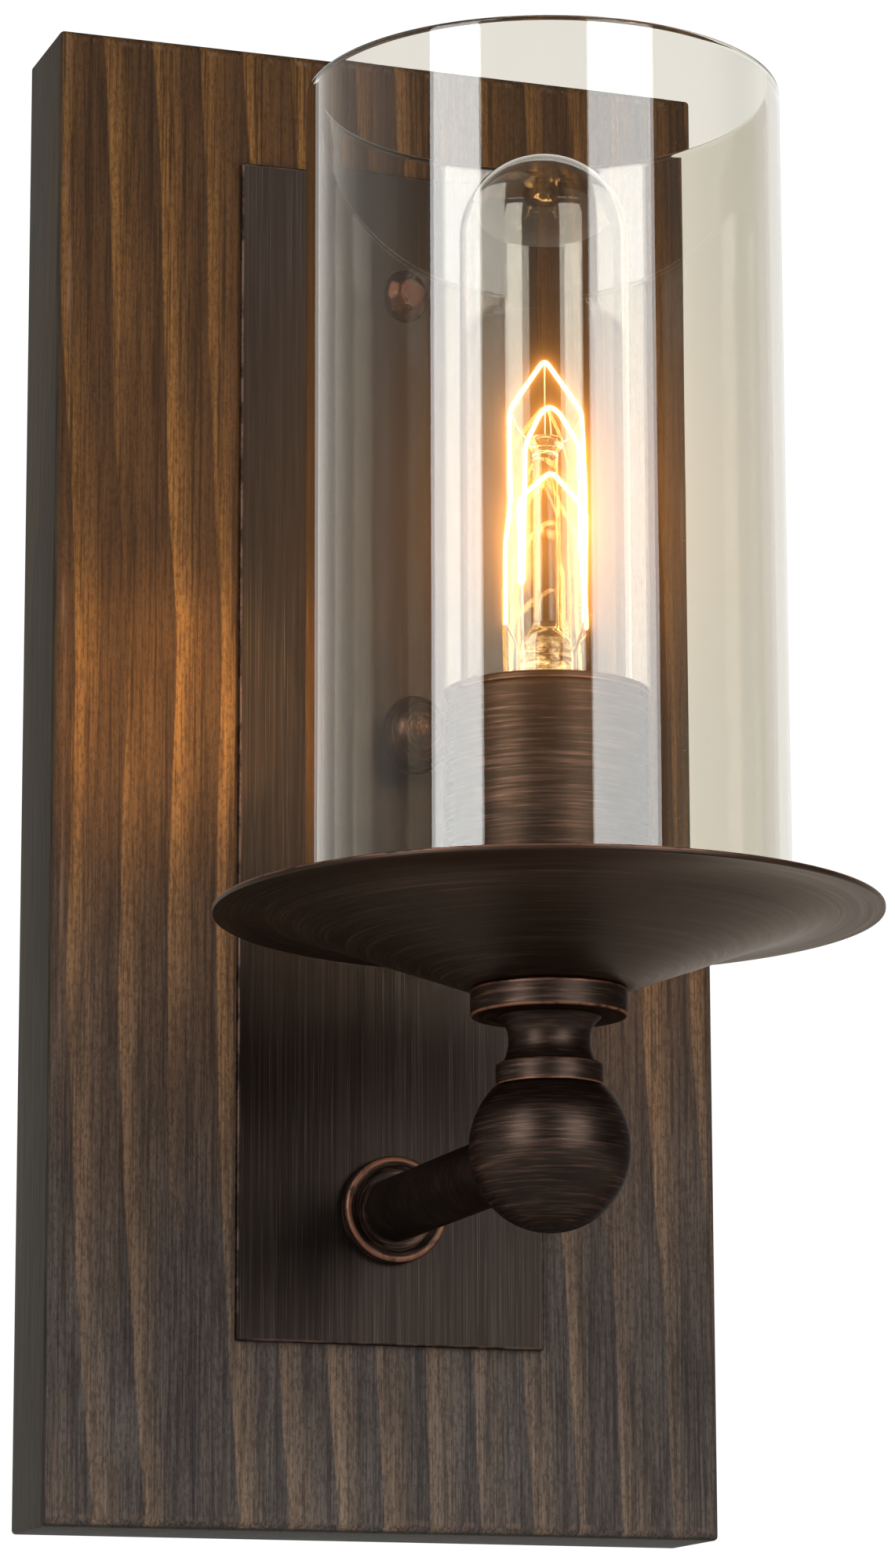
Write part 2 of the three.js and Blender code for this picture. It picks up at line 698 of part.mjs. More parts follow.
// Glass mount: a flared foot closes the neck, a tube rises to the pinch that holds the
// leads, and a rod with a button on its end carries on up.
function bulbStem(footZ) {
  const pinch = footZ + STEM_TUBE_HEIGHT;
  const top = footZ + STEM_HEIGHT;
  const profile = [
    [0, footZ],
    [STEM_FOOT_RADIUS, footZ],
    [STEM_FOOT_RADIUS, footZ + 1],
    [STEM_TUBE_RADIUS + 0.6, footZ + 4],
    [STEM_TUBE_RADIUS, footZ + 8],
    [STEM_TUBE_RADIUS, pinch - 2],
    [STEM_ROD_RADIUS, pinch + 1],
    [STEM_ROD_RADIUS, top - 3],
    [STEM_BUTTON_RADIUS, top - 2],
    [STEM_BUTTON_RADIUS, top - 0.8],
    [STEM_ROD_RADIUS, top],
    [0, top],
  ];
  return turnedUp(profile, SMALL);
}

function wire(points, radius) {
  const section = new THREE.Shape();
  section.absarc(0, 0, radius, 0, Math.PI * 2, false);
  const path = new THREE.CatmullRomCurve3(
    points.map((point) => new THREE.Vector3(...point)),
    false,
    'catmullrom',
    0.15,
  );
  return new THREE.ExtrudeGeometry(section, {
    steps: points.length * 4,
    curveSegments: 3,
    bevelEnabled: false,
    extrudePath: path,
  });
}

// A lead leaves the side of the stem and bends out to one end of the filament.
const leadWire = (rootX, rootZ, tip) =>
  wire([[rootX, 0, rootZ], [rootX, 0, rootZ + 5], [tip[0], tip[1], tip[2] - 2], tip], LEAD_RADIUS);

// The filament is one wire. From the left lead it rises to the top peak and comes down on
// the right, rises to a lower peak behind the stem, then to the lowest peak in front of it.
const filamentZ = BRIM_Z + FILAMENT_FOOT;
const filamentEnds = {
  left: [-FILAMENT_SPREAD, 0, filamentZ],
  right: [FILAMENT_SPREAD * 0.75, -FILAMENT_DEPTH, filamentZ],
};
function filament() {
  const shoulder = filamentZ + FILAMENT_SHOULDER;
  const strand = FILAMENT_SPREAD * 0.6;
  const back = FILAMENT_DEPTH;
  const backPeak = filamentZ + FILAMENT_BACK_PEAK;
  const frontPeak = filamentZ + FILAMENT_FRONT_PEAK;
  const [leftX, leftY, leftZ] = filamentEnds.left;
  const [rightX, rightY, rightZ] = filamentEnds.right;
  return wire(
    [
      [leftX, leftY, leftZ + 1.5],
      [-FILAMENT_SPREAD * 0.85, 0, shoulder],
      [0, 0, filamentZ + FILAMENT_PEAK],
      [FILAMENT_SPREAD * 0.9, 0, shoulder],
      [FILAMENT_SPREAD, 1, filamentZ],
      [strand, back, backPeak - FILAMENT_STRAND_DROP],
      [0, back, backPeak],
      [-strand, back, backPeak - FILAMENT_STRAND_DROP],
      [-strand, back * 0.6, filamentZ + 3],
      [-strand, -back, frontPeak - FILAMENT_STRAND_DROP],
      [0, -back, frontPeak],
      [strand, -back, frontPeak - FILAMENT_STRAND_DROP],
      [rightX, rightY, rightZ + 1.5],
    ],
    FILAMENT_RADIUS,
  );
}

// ---- Assembly: fixed pieces on the wall ----
place('back_board', backBoard(), materials.wood());
place('face_plate', facePlate(), materials.plate());
place('hammered_stud', hammeredStud(), materials.bronze(), 0, 0, STUD_Z);
place('crossbar', crossbar(), materials.steel(), 0, 0, NUT_Z);
['left', 'right'].forEach((side, i) => {
  const x = ((i * 2 - 1) * BOX_SCREW_SPACING) / 2;
  const screw = panScrew(-BOX_SCREW_REACH, CROSSBAR_FRONT + SEAT_GAP);
  place(`box_screw_${side}`, screw, materials.steel(), x, 0, NUT_Z);
});
const groundScrew = panScrew(CROSSBAR_SETBACK, CROSSBAR_FRONT + SEAT_GAP);
place('ground_screw', groundScrew, materials.ground(), GROUND_SCREW_X, 0, NUT_Z);
const washerBack = PLATE_FRONT + SEAT_GAP;
const capBack = washerBack + CAP_WASHER_THICKNESS + SEAT_GAP;
const rod = solidRod(ROD_RADIUS, CROSSBAR_SETBACK, capBack + ROD_IN_NUT);
place('threaded_stud', turnedOut(rod, SMALL), materials.steel(), 0, 0, NUT_Z);
const rodNut = sheet(hexagon(ROD_NUT_ACROSS, ROD_RADIUS + FIT_GAP), ROD_NUT_HEIGHT, 0);
place('stud_nut', rodNut, materials.steel(), 0, -CROSSBAR_FRONT - SEAT_GAP, NUT_Z);

// ---- Assembly: arm ----
const flangeBack = PLATE_FRONT + SEAT_GAP;
place('arm_flange', armFlange(flangeBack), materials.copper(), 0, 0, ARM_Z);
const armStart = flangeBack + FLANGE_THICKNESS - FLANGE_DISHING + SEAT_GAP;
const armEnd = REACH - Math.sqrt(BALL_RADIUS ** 2 - ARM_RADIUS ** 2) - SEAT_GAP;
const armTube = ring(PIPE_RADIUS + FIT_GAP, ARM_RADIUS, armStart, armEnd);
place('arm_tube', turnedOut(armTube, ROUND), materials.bronze(), 0, 0, ARM_Z);
const pipeNutFace = RECESS_DEPTH - SEAT_GAP - PIPE_WASHER_THICKNESS - SEAT_GAP;
const pipeEnd = pipeNutFace - PIPE_NUT_HEIGHT - 2.5;
const armPipe = ring(PIPE_BORE_RADIUS, PIPE_RADIUS, pipeEnd, REACH - PIPE_IN_BALL);
place('arm_pipe', turnedOut(armPipe, SMALL), materials.steel(), 0, 0, ARM_Z);
const pipeWasher = ring(
  PIPE_RADIUS + FIT_GAP,
  PIPE_WASHER_RADIUS,
  pipeNutFace + SEAT_GAP,
  RECESS_DEPTH - SEAT_GAP,
);
place('arm_washer', turnedOut(pipeWasher, SMALL), materials.steel(), 0, 0, ARM_Z);
const pipeNut = hexagon(PIPE_NUT_ACROSS, PIPE_RADIUS + FIT_GAP);
const armNut = sheet(pipeNut, PIPE_NUT_HEIGHT, pipeNutFace - PIPE_NUT_HEIGHT);
place('arm_nut', armNut, materials.steel(), 0, 0, ARM_Z);
const bushing = ring(
  PIPE_BORE_RADIUS,
  BUSHING_RADIUS,
  pipeEnd - SEAT_GAP - BUSHING_HEIGHT,
  pipeEnd - SEAT_GAP,
);
place('wire_bushing', turnedOut(bushing, SMALL), materials.plastic(), 0, 0, ARM_Z);

// ---- Assembly: column ----
const column = (name, geometry, material, z = 0) => place(name, geometry, material, 0, -REACH, z);
const pipeFit = PIPE_RADIUS + FIT_GAP;
column('arm_ball', armBall(), materials.bronze(), ARM_Z);
const collar = [
  [pipeFit, 0],
  [COLLAR_RADIUS, 0],
  [COLLAR_RADIUS, COLLAR_HEIGHT - 0.4],
  [COLLAR_RADIUS - 0.4, COLLAR_HEIGHT],
  [pipeFit, COLLAR_HEIGHT],
  [pipeFit, 0],
];
column('ball_collar', turnedUp(collar, ROUND), materials.bronze(), COLLAR_Z);
column('neck_spool', neckSpool(), materials.bronze(), NECK_Z);
const disc = [
  [pipeFit, 0],
  [DISC_RADIUS - 0.4, 0],
  [DISC_RADIUS, 0.4],
  [DISC_RADIUS, DISC_HEIGHT],
  [pipeFit, DISC_HEIGHT],
  [pipeFit, 0],
];
column('seat_disc', turnedUp(disc, ROUND), materials.copper(), DISC_Z);
column('drip_dish', dripDish(), materials.dish(), HUB_Z);
const dishWasher = ring(pipeFit, DISH_WASHER_RADIUS, 0, DISH_WASHER_THICKNESS);
column('dish_washer', turnedUp(dishWasher, SMALL), materials.steel(), DISH_WASHER_Z);
const dishNut = new THREE.ExtrudeGeometry(pipeNut, {
  depth: PIPE_NUT_HEIGHT,
  bevelEnabled: false,
  curveSegments: 10,
});
column('dish_nut', dishNut, materials.steel(), DISH_NUT_Z);
const pipeTop = STRAP_Z + STRAP_THICKNESS + 2.5;
const columnPipe = ring(PIPE_BORE_RADIUS, PIPE_RADIUS, ARM_Z + PIPE_IN_BALL, pipeTop);
column('column_pipe', turnedUp(columnPipe, SMALL), materials.steel());
column('socket_strap', socketStrap(), materials.steel(), STRAP_Z);
column('socket_body', socketBody(), materials.phenolic(), SOCKET_Z);
const shellZ = SOCKET_Z + SOCKET_FLOOR + SEAT_GAP;
column('socket_shell', screwShell(), materials.brass(), shellZ);
const contactZ = shellZ + SCREW_SHELL_WALL + SEAT_GAP;
const contact = contactTongue(BASE_TIP_Z - SEAT_GAP - contactZ);
column('socket_contact', contact, materials.brass(), contactZ);
['left', 'right'].forEach((name, i) => {
  const side = i * 2 - 1;
  const screw = terminalScrew(side);
  const x = side * (SOCKET_RADIUS - TERMINAL_INSET + SEAT_GAP);
  const z = SOCKET_Z + TERMINAL_RISE;
  place(`terminal_screw_${name}`, screw, materials.brass(), x, -REACH, z);
});

// ---- Assembly: pieces that lift off or unscrew ----
const capWasher = ring(
  ROD_RADIUS + FIT_GAP,
  CAP_WASHER_RADIUS,
  washerBack,
  washerBack + CAP_WASHER_THICKNESS,
);
place('cap_washer', turnedOut(capWasher, SMALL), materials.bronze(), 0, 0, NUT_Z);
place('cap_nut', capNut(capBack), materials.bronze(), 0, 0, NUT_Z);
const sleeveFoot = HUB_Z + dishRise(SLEEVE_RADIUS) + SEAT_GAP;
const sleeve = ring(SLEEVE_BORE_RADIUS, SLEEVE_RADIUS, sleeveFoot, BRIM_Z + SLEEVE_TOP);
column('candle_sleeve', turnedUp(sleeve, ROUND), materials.bronze());
column('bulb_tip', baseTip(), materials.steel());
column('bulb_insulator', baseInsulator(), materials.phenolic());
column('bulb_base_shell', baseShell(), materials.brass());
column('bulb_envelope', bulbEnvelope(), materials.clear());
const stemZ = BULB_NECK_Z + 1;
column('bulb_stem', bulbStem(stemZ), materials.clear());
const leadZ = stemZ + STEM_TUBE_HEIGHT - 8;
const leadLeft = leadWire(-LEAD_ROOT, leadZ, filamentEnds.left);
const leadRight = leadWire(LEAD_ROOT, leadZ, filamentEnds.right);
column('bulb_lead_left', leadLeft, materials.steel());
column('bulb_lead_right', leadRight, materials.steel());
column('bulb_filament', filament(), materials.glow());
const glassFoot = HUB_Z + dishRise(GLASS_RADIUS) + SEAT_GAP;
const glass = [
  [GLASS_RADIUS - GLASS_WALL, glassFoot + 0.4],
  [GLASS_RADIUS - GLASS_WALL + 0.4, glassFoot],
  [GLASS_RADIUS - 0.4, glassFoot],
  [GLASS_RADIUS, glassFoot + 0.4],
  [GLASS_RADIUS, GLASS_TOP_Z - 0.6],
  [GLASS_RADIUS - 0.6, GLASS_TOP_Z],
  [GLASS_RADIUS - GLASS_WALL + 0.6, GLASS_TOP_Z],
  [GLASS_RADIUS - GLASS_WALL, GLASS_TOP_Z - 0.6],
  [GLASS_RADIUS - GLASS_WALL, glassFoot + 0.4],
];
column('glass_cylinder', turnedUp(glass, FINE), materials.clear());

export default root;
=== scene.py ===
import json
import math

import bmesh
import bpy
from mathutils import Matrix, Vector

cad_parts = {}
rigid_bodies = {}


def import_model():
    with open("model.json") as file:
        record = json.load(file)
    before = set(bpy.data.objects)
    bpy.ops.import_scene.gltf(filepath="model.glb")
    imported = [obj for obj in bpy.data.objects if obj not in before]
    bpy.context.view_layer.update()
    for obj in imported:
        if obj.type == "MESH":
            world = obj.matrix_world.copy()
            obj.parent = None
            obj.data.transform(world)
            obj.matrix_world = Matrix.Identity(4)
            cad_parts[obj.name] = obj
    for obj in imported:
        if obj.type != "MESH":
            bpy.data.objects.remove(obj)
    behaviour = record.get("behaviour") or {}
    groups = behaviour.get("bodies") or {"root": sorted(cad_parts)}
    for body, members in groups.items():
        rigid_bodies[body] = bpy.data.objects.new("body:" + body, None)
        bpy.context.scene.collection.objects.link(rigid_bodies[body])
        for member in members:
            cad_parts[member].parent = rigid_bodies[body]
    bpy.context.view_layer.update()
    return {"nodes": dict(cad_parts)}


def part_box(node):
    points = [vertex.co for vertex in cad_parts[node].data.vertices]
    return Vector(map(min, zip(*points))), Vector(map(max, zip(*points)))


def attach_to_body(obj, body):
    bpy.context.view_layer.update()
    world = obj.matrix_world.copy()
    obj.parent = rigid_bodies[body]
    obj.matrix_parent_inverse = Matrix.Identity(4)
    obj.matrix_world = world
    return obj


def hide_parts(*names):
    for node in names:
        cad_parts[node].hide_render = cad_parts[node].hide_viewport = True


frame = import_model()

# ---- Sizes, in millimetres unless the name says otherwise ----
MM = 0.001
SKIN_GAP = 0.02  # keeps fine surfaces just inside the solids they stand for
BOARD_ROUND = 2.2
BOARD_CORNER = 0.8
EDGE_STEPS = 6
CORNER_STEPS = 4
RECESS_RADIUS = 52
RECESS_DEPTH = 16
POCKET_RADIUS = 15
CHANNEL_WIDTH = 12
ROD_HOLE_RADIUS = 2.35
PIPE_HOLE_RADIUS = 5.1
PIPE_BORE_RADIUS = 3.2
BLOW_DEPTH = 0.5  # how deep each hammer blow flattens the stud's dome
RING_PERIOD = 10.0  # spacing of the board's growth bands
RING_SLOPE = 0.036  # sideways run of the bands for each millimetre of height
LAMP_THREAD_ROWS = 10  # mesh rows in one turn of the lamp's thread
SHELL_WALL = 0.35
PINCH_RISE = 27  # height of the stem's pinch above its foot
DISH_BRIM = 9.3
DISH_SKIN = 1.1
GLASS_WALL = 2.2
BULB_WALL = 0.55
LAMP_PITCH = 25.4 / 7
STUD_PITCH = 25.4 / 32
PIPE_PITCH = 25.4 / 27
FLOOR_Z = -1500  # such a lamp hangs about 1.5 m above the floor
FLOOR_HALF = 15000
SUPPORT = 0.12  # distance of a supporting edge from the end of a straight run
WIRE_BEND = 1.5
THREAD_ROWS = 6  # mesh rows in one turn of a small thread
FINE = 128
SMALL = 48

# ---- Lights and camera, in metres and degrees ----
SOFTBOXES = (  # name, place, width, height, radiance
    ("softbox_left", (-1.11, -0.695, 0.42), 0.55, 1.0, 8.0),
    ("softbox_right", (0.424, -1.463, 0.46), 0.82, 1.06, 6.2),
)
SOFTBOX_AIM = (0, -0.10)
SOFTBOX_COLOR = (0.96, 0.985, 1.0)
LAMP_COLOR = (1.0, 0.60, 0.24)
CAMERA_LENS = 122.0
CAMERA_PLACE = (-0.3318, -1.0217, -0.2268)
CAMERA_ANGLES = (102.11, 0.18, -19.02)


def mm_box(node):
    """Lowest and highest corner of a CAD node in millimetres."""
    low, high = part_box(node)
    return low / MM, high / MM


def size_of(node):
    low, high = mm_box(node)
    return high - low


def centre_of(node):
    low, high = mm_box(node)
    return (low + high) / 2


def extent(node, axis="Z"):
    """Radius of a round CAD node, and its two ends along the axis (Y counts out from the wall)."""
    low, high = mm_box(node)
    ends = (low.z, high.z) if axis == "Z" else (-high.y, -low.y)
    return (high.x - low.x) / 2 - SKIN_GAP, *ends


AXIS_Y = centre_of("drip_dish").y
ARM_Z = centre_of("arm_tube").z
NUT_Z = centre_of("cap_nut").z
STUD_Z = centre_of("hammered_stud").z
COLUMN = Vector((0, AXIS_Y, 0))
ARM_LINE = Vector((0, 0, ARM_Z))
NUT_LINE = Vector((0, 0, NUT_Z))


# ---- Mesh building ----
def new_object(name, mesh):
    obj = bpy.data.objects.new(name, mesh)
    bpy.context.scene.collection.objects.link(obj)
    return obj


def finish_mesh(name, bm, smooth_angle=38):
    bmesh.ops.recalc_face_normals(bm, faces=bm.faces)
    for vert in bm.verts:
        vert.co *= MM
    mesh = bpy.data.meshes.new(name)
    bm.to_mesh(mesh)
    bm.free()
    mesh.shade_smooth()
    mesh.set_sharp_from_angle(angle=math.radians(smooth_angle))
    return new_object(name, mesh)


def fillet(points, steps=6):
    """Rounds the corners of a profile. A point is (radius, height) or (radius, height, round)."""
    closed = tuple(points[0][:2]) == tuple(points[-1][:2])
    core = points[:-1] if closed else points
    count = len(core)
    path = []
    for i, point in enumerate(core):
        here = Vector(point[:2])
        size = point[2] if len(point) > 2 else 0
        if size == 0 or (not closed and i in (0, count - 1)):
            path.append(here)
            continue
        before = Vector(core[i - 1][:2]) - here
        after = Vector(core[(i + 1) % count][:2]) - here
        start = here + before.normalized() * min(size, before.length * 0.49)
        end = here + after.normalized() * min(size, after.length * 0.49)
        for step in range(steps + 1):
            t = step / steps
            path.append(start * (1 - t) ** 2 + here * 2 * t * (1 - t) + end * t * t)
    if closed:
        path.append(path[0].copy())
    return supported([(p.x, p.y) for p in path])


def supported(path):
    """Adds a point near both ends of each long straight run, so smooth shading stays flat there."""
    result = [path[0]]
    for start, end in zip(path, path[1:]):
        length = math.dist(start, end)
        if length > 6 * SUPPORT:
            for t in (SUPPORT / length, 1 - SUPPORT / length):
                result.append(tuple(a + (b - a) * t for a, b in zip(start, end)))
        result.append(end)
    return result


def placer(origin, axis):
    """Turns (radius, angle, height) into a point. Axis Z goes up, axis Y goes out from the wall."""

    def up(radius, angle, height):
        offset = Vector((radius * math.cos(angle), radius * math.sin(angle), height))
        return origin + offset

    def out(radius, angle, height):
        offset = Vector((radius * math.cos(angle), -height, radius * math.sin(angle)))
        return origin + offset

    return up if axis == "Z" else out


def revolve(bm, profile, origin, axis="Z", segments=FINE, radius_at=None):
    """Adds a surface of revolution. radius_at(radius, angle, height) can vary the radius."""
    point = placer(origin, axis)
    closed = profile[0] == profile[-1]
    stops = profile[:-1] if closed else profile
    rings = []
    for radius, height in stops:
        if radius < 1e-6:
            rings.append([bm.verts.new(point(0, 0, height))])
            continue
        ring = []
        for k in range(segments):
            angle = 2 * math.pi * k / segments
            r = radius_at(radius, angle, height) if radius_at else radius
            ring.append(bm.verts.new(point(r, angle, height)))
        rings.append(ring)
    pairs = list(zip(rings, rings[1:]))
    if closed:
        pairs.append((rings[-1], rings[0]))
    for low, high in pairs:
        if len(low) == 1 and len(high) == 1:
            continue
        for k in range(segments):
            n = (k + 1) % segments
            if len(low) == 1:
                bm.faces.new((low[0], high[n], high[k]))
            elif len(high) == 1:
                bm.faces.new((low[k], low[n], high[0]))
            else:
                bm.faces.new((low[k], low[n], high[n], high[k]))


def turned(name, profile, origin, axis="Z", segments=FINE, smooth_angle=38, radius_at=None):
    bm = bmesh.new()
    revolve(bm, profile, origin, axis, segments, radius_at)
    return finish_mesh(name, bm, smooth_angle)


def tube_profile(inner, outer, start, end, edge=0.3):
    return fillet(
        [
            (inner, start, edge),
            (outer, start, edge),
            (outer, end, edge),
            (inner, end, edge),
            (inner, start, edge),
        ]
    )


def thread(depth, pitch, ends=None, where=None):
    """Radius of a right-hand thread whose crest is the given radius.

    It fades out at the ends. where(radius, height) says which part of the profile it cuts.
    """

    def radius_at(radius, angle, height):
        if where and not where(radius, height):
            return radius
        turn = height / pitch - angle / (2 * math.pi)
        wave = 0.5 - 0.5 * math.cos(2 * math.pi * turn)
        fade = 1.0
        if ends:
            fade = min(1.0, max(0.0, min(height - ends[0], ends[1] - height) / pitch))
        return radius - depth * wave * fade

    return radius_at


def rows(radius, start, end, spacing):
    count = max(2, round((end - start) / spacing))
    return [(radius, start + (end - start) * i / count) for i in range(count + 1)]


def arc(wide, tall, centre, start, end, count):
    """Points of an ellipse about the axis, from one angle to another, ending on the axis."""
    turns = [start + (end - start) * i / count for i in range(count + 1)]
    points = [(wide * math.sin(t), centre + tall * math.cos(t)) for t in turns]
    points[-1] = (0, centre - tall)
    return points


def boolean(obj, operation, tools):
    """Applies boolean tools to an object's mesh and deletes the tools."""
    for tool in tools:
        modifier = obj.modifiers.new(operation, "BOOLEAN")
        modifier.operation = operation
        modifier.solver = "EXACT"
        modifier.object = tool
    bpy.context.view_layer.update()
    graph = bpy.context.evaluated_depsgraph_get()
    mesh = bpy.data.meshes.new_from_object(obj.evaluated_get(graph))
    obj.modifiers.clear()
    obj.data = mesh
    for tool in tools:
        bpy.data.objects.remove(tool)
    mesh.shade_smooth()
    mesh.set_sharp_from_angle(angle=math.radians(38))
    return obj


def block(name, low, high):
    bm = bmesh.new()
    bmesh.ops.create_cube(bm, size=1)
    middle, span = (low + high) / 2, high - low
    for vert in bm.verts:
        vert.co = Vector(a * b for a, b in zip(vert.co, span)) + middle
    return finish_mesh(name, bm)


def rod(name, radius, start, end, origin, axis, segments=SMALL):
    return turned(name, [(0, start), (radius, start), (radius, end), (0, end)], origin, axis, segments)


def rounded_path(points, size, steps=4):
    """The points with each corner turned into a short curve."""
    path = [Vector(points[0])]
    for before, here, after in zip(points, points[1:], points[2:]):
        before, here, after = Vector(before), Vector(here), Vector(after)
        start = here + (before - here).normalized() * min(size, (before - here).length * 0.45)
        end = here + (after - here).normalized() * min(size, (after - here).length * 0.45)
        for step in range(steps + 1):
            t = step / steps
            path.append(start * (1 - t) ** 2 + here * 2 * t * (1 - t) + end * t * t)
    path.append(Vector(points[-1]))
    return path


def swept(name, points, radius):
    """A round wire through the points, with closed ends."""
    curve = bpy.data.curves.new(name, "CURVE")
    curve.dimensions = "3D"
    curve.bevel_depth = radius * MM
    curve.bevel_resolution = 3
    curve.use_fill_caps = True
    path = rounded_path(points, WIRE_BEND)
    spline = curve.splines.new("POLY")
    spline.points.add(len(path) - 1)
    for target, point in zip(spline.points, path):
        target.co = (*(point * MM), 1)
    source = new_object(name + "_path", curve)
    bpy.context.view_layer.update()
    graph = bpy.context.evaluated_depsgraph_get()
    mesh = bpy.data.meshes.new_from_object(source.evaluated_get(graph))
    bpy.data.objects.remove(source)
    mesh.shade_smooth()
    return new_object(name, mesh)


def merged(name, parts):
    bm = bmesh.new()
    for part in parts:
        bm.from_mesh(part.data)
        bpy.data.objects.remove(part)
    mesh = bpy.data.meshes.new(name)
    bm.to_mesh(mesh)
    bm.free()
    return new_object(name, mesh)


# ---- Materials ----
class Tree:
    """Short calls that add nodes to a tree."""

    def __init__(self, tree):
        self.tree = tree

    def link(self, source, target):
        self.tree.links.new(source, target)

    def put(self, socket, value):
        if isinstance(value, bpy.types.NodeSocket):
            self.link(value, socket)
        else:
            socket.default_value = value

    def add(self, kind, inputs=None, **settings):
        node = self.tree.nodes.new(kind)
        for key, value in settings.items():
            setattr(node, key, value)
        for key, value in (inputs or {}).items():
            self.put(node.inputs[key], value)
        return node

    def math(self, operation, a, b=0.0, c=0.0):
        node = self.add("ShaderNodeMath", operation=operation)
        for socket, value in zip(node.inputs, (a, b, c)):
            self.put(socket, value)
        return node.outputs[0]

    def times(self, a, b):
        return self.math("MULTIPLY", a, b)

    def minus(self, a, b):
        return self.math("SUBTRACT", a, b)

    def scaled(self, a, factor, plus):
        """a times factor, plus something."""
        return self.math("MULTIPLY_ADD", a, factor, plus)

    def absolute(self, a):
        return self.math("ABSOLUTE", a)

    def length(self, a, b):
        return self.math("SQRT", self.math("ADD", self.times(a, a), self.times(b, b)))

    def split(self, vector):
        return self.add("ShaderNodeSeparateXYZ", {0: vector}).outputs

    def join(self, x, y, z):
        return self.add("ShaderNodeCombineXYZ", {0: x, 1: y, 2: z}).outputs[0]

    def stretch(self, vector, x, y, z):
        node = self.add("ShaderNodeVectorMath", operation="MULTIPLY")
        self.put(node.inputs[0], vector)
        node.inputs[1].default_value = (x, y, z)
        return node.outputs[0]

    def noise(self, vector, scale, detail=3.0, roughness=0.5, w=None):
        node = self.add("ShaderNodeTexNoise", noise_dimensions="4D" if w is not None else "3D")
        self.put(node.inputs["Vector"], vector)
        node.inputs["Scale"].default_value = scale
        node.inputs["Detail"].default_value = detail
        node.inputs["Roughness"].default_value = roughness
        if w is not None:
            self.put(node.inputs["W"], w)
        return node.outputs["Fac"]

    def ramp(self, value, stops):
        """Grey levels from (position, level) stops."""
        node = self.add("ShaderNodeValToRGB")
        elements = node.color_ramp.elements
        while len(elements) < len(stops):
            elements.new(0.5)
        for element, (position, level) in zip(elements, stops):
            element.position = position
            element.color = (level, level, level, 1)
        self.put(node.inputs[0], value)
        return node.outputs[0]

    def mix(self, factor, a, b, mode="MIX"):
        node = self.add("ShaderNodeMix", data_type="RGBA", blend_type=mode)
        self.put(node.inputs[0], factor)
        for socket, value in ((node.inputs[6], a), (node.inputs[7], b)):
            self.put(socket, value if isinstance(value, bpy.types.NodeSocket) else (*value, 1))
        return node.outputs[2]

    def band(self, value, low, high, at_low=0.0, at_high=1.0, kind="SMOOTHSTEP"):
        """at_low below low, at_high above high, smooth between."""
        node = self.add("ShaderNodeMapRange", interpolation_type=kind)
        self.put(node.inputs["Value"], value)
        for name, number in zip(("From Min", "From Max", "To Min", "To Max"), (low, high, at_low, at_high)):
            node.inputs[name].default_value = number
        return node.outputs[0]

    def outside(self, value, low, high):
        """1 below low, 0 above high."""
        return self.minus(1.0, self.band(value, low, high))


class Nodes(Tree):
    """One material's tree, with its Principled shader and object coordinates."""

    def __init__(self, name):
        self.material = bpy.data.materials.new(name)
        self.material.use_nodes = True
        super().__init__(self.material.node_tree)
        self.tree.nodes.clear()
        output = self.add("ShaderNodeOutputMaterial")
        self.shader = self.add("ShaderNodeBsdfPrincipled")
        self.link(self.shader.outputs[0], output.inputs["Surface"])
        self.place = self.add("ShaderNodeTexCoord").outputs["Object"]

    def streaks(self, x, y, z, detail=3.0, roughness=0.5):
        """Noise with its own number of waves per metre along each axis."""
        return self.noise(self.stretch(self.place, x, y, z), 1.0, detail, roughness)

    def bump(self, height, strength, distance=0.0002):
        node = self.add("ShaderNodeBump", {"Height": height})
        node.inputs["Strength"].default_value = strength
        node.inputs["Distance"].default_value = distance
        self.link(node.outputs[0], self.shader.inputs["Normal"])

    def set(self, **values):
        for key, value in values.items():
            self.put(self.shader.inputs[key.replace("_", " ")], value)


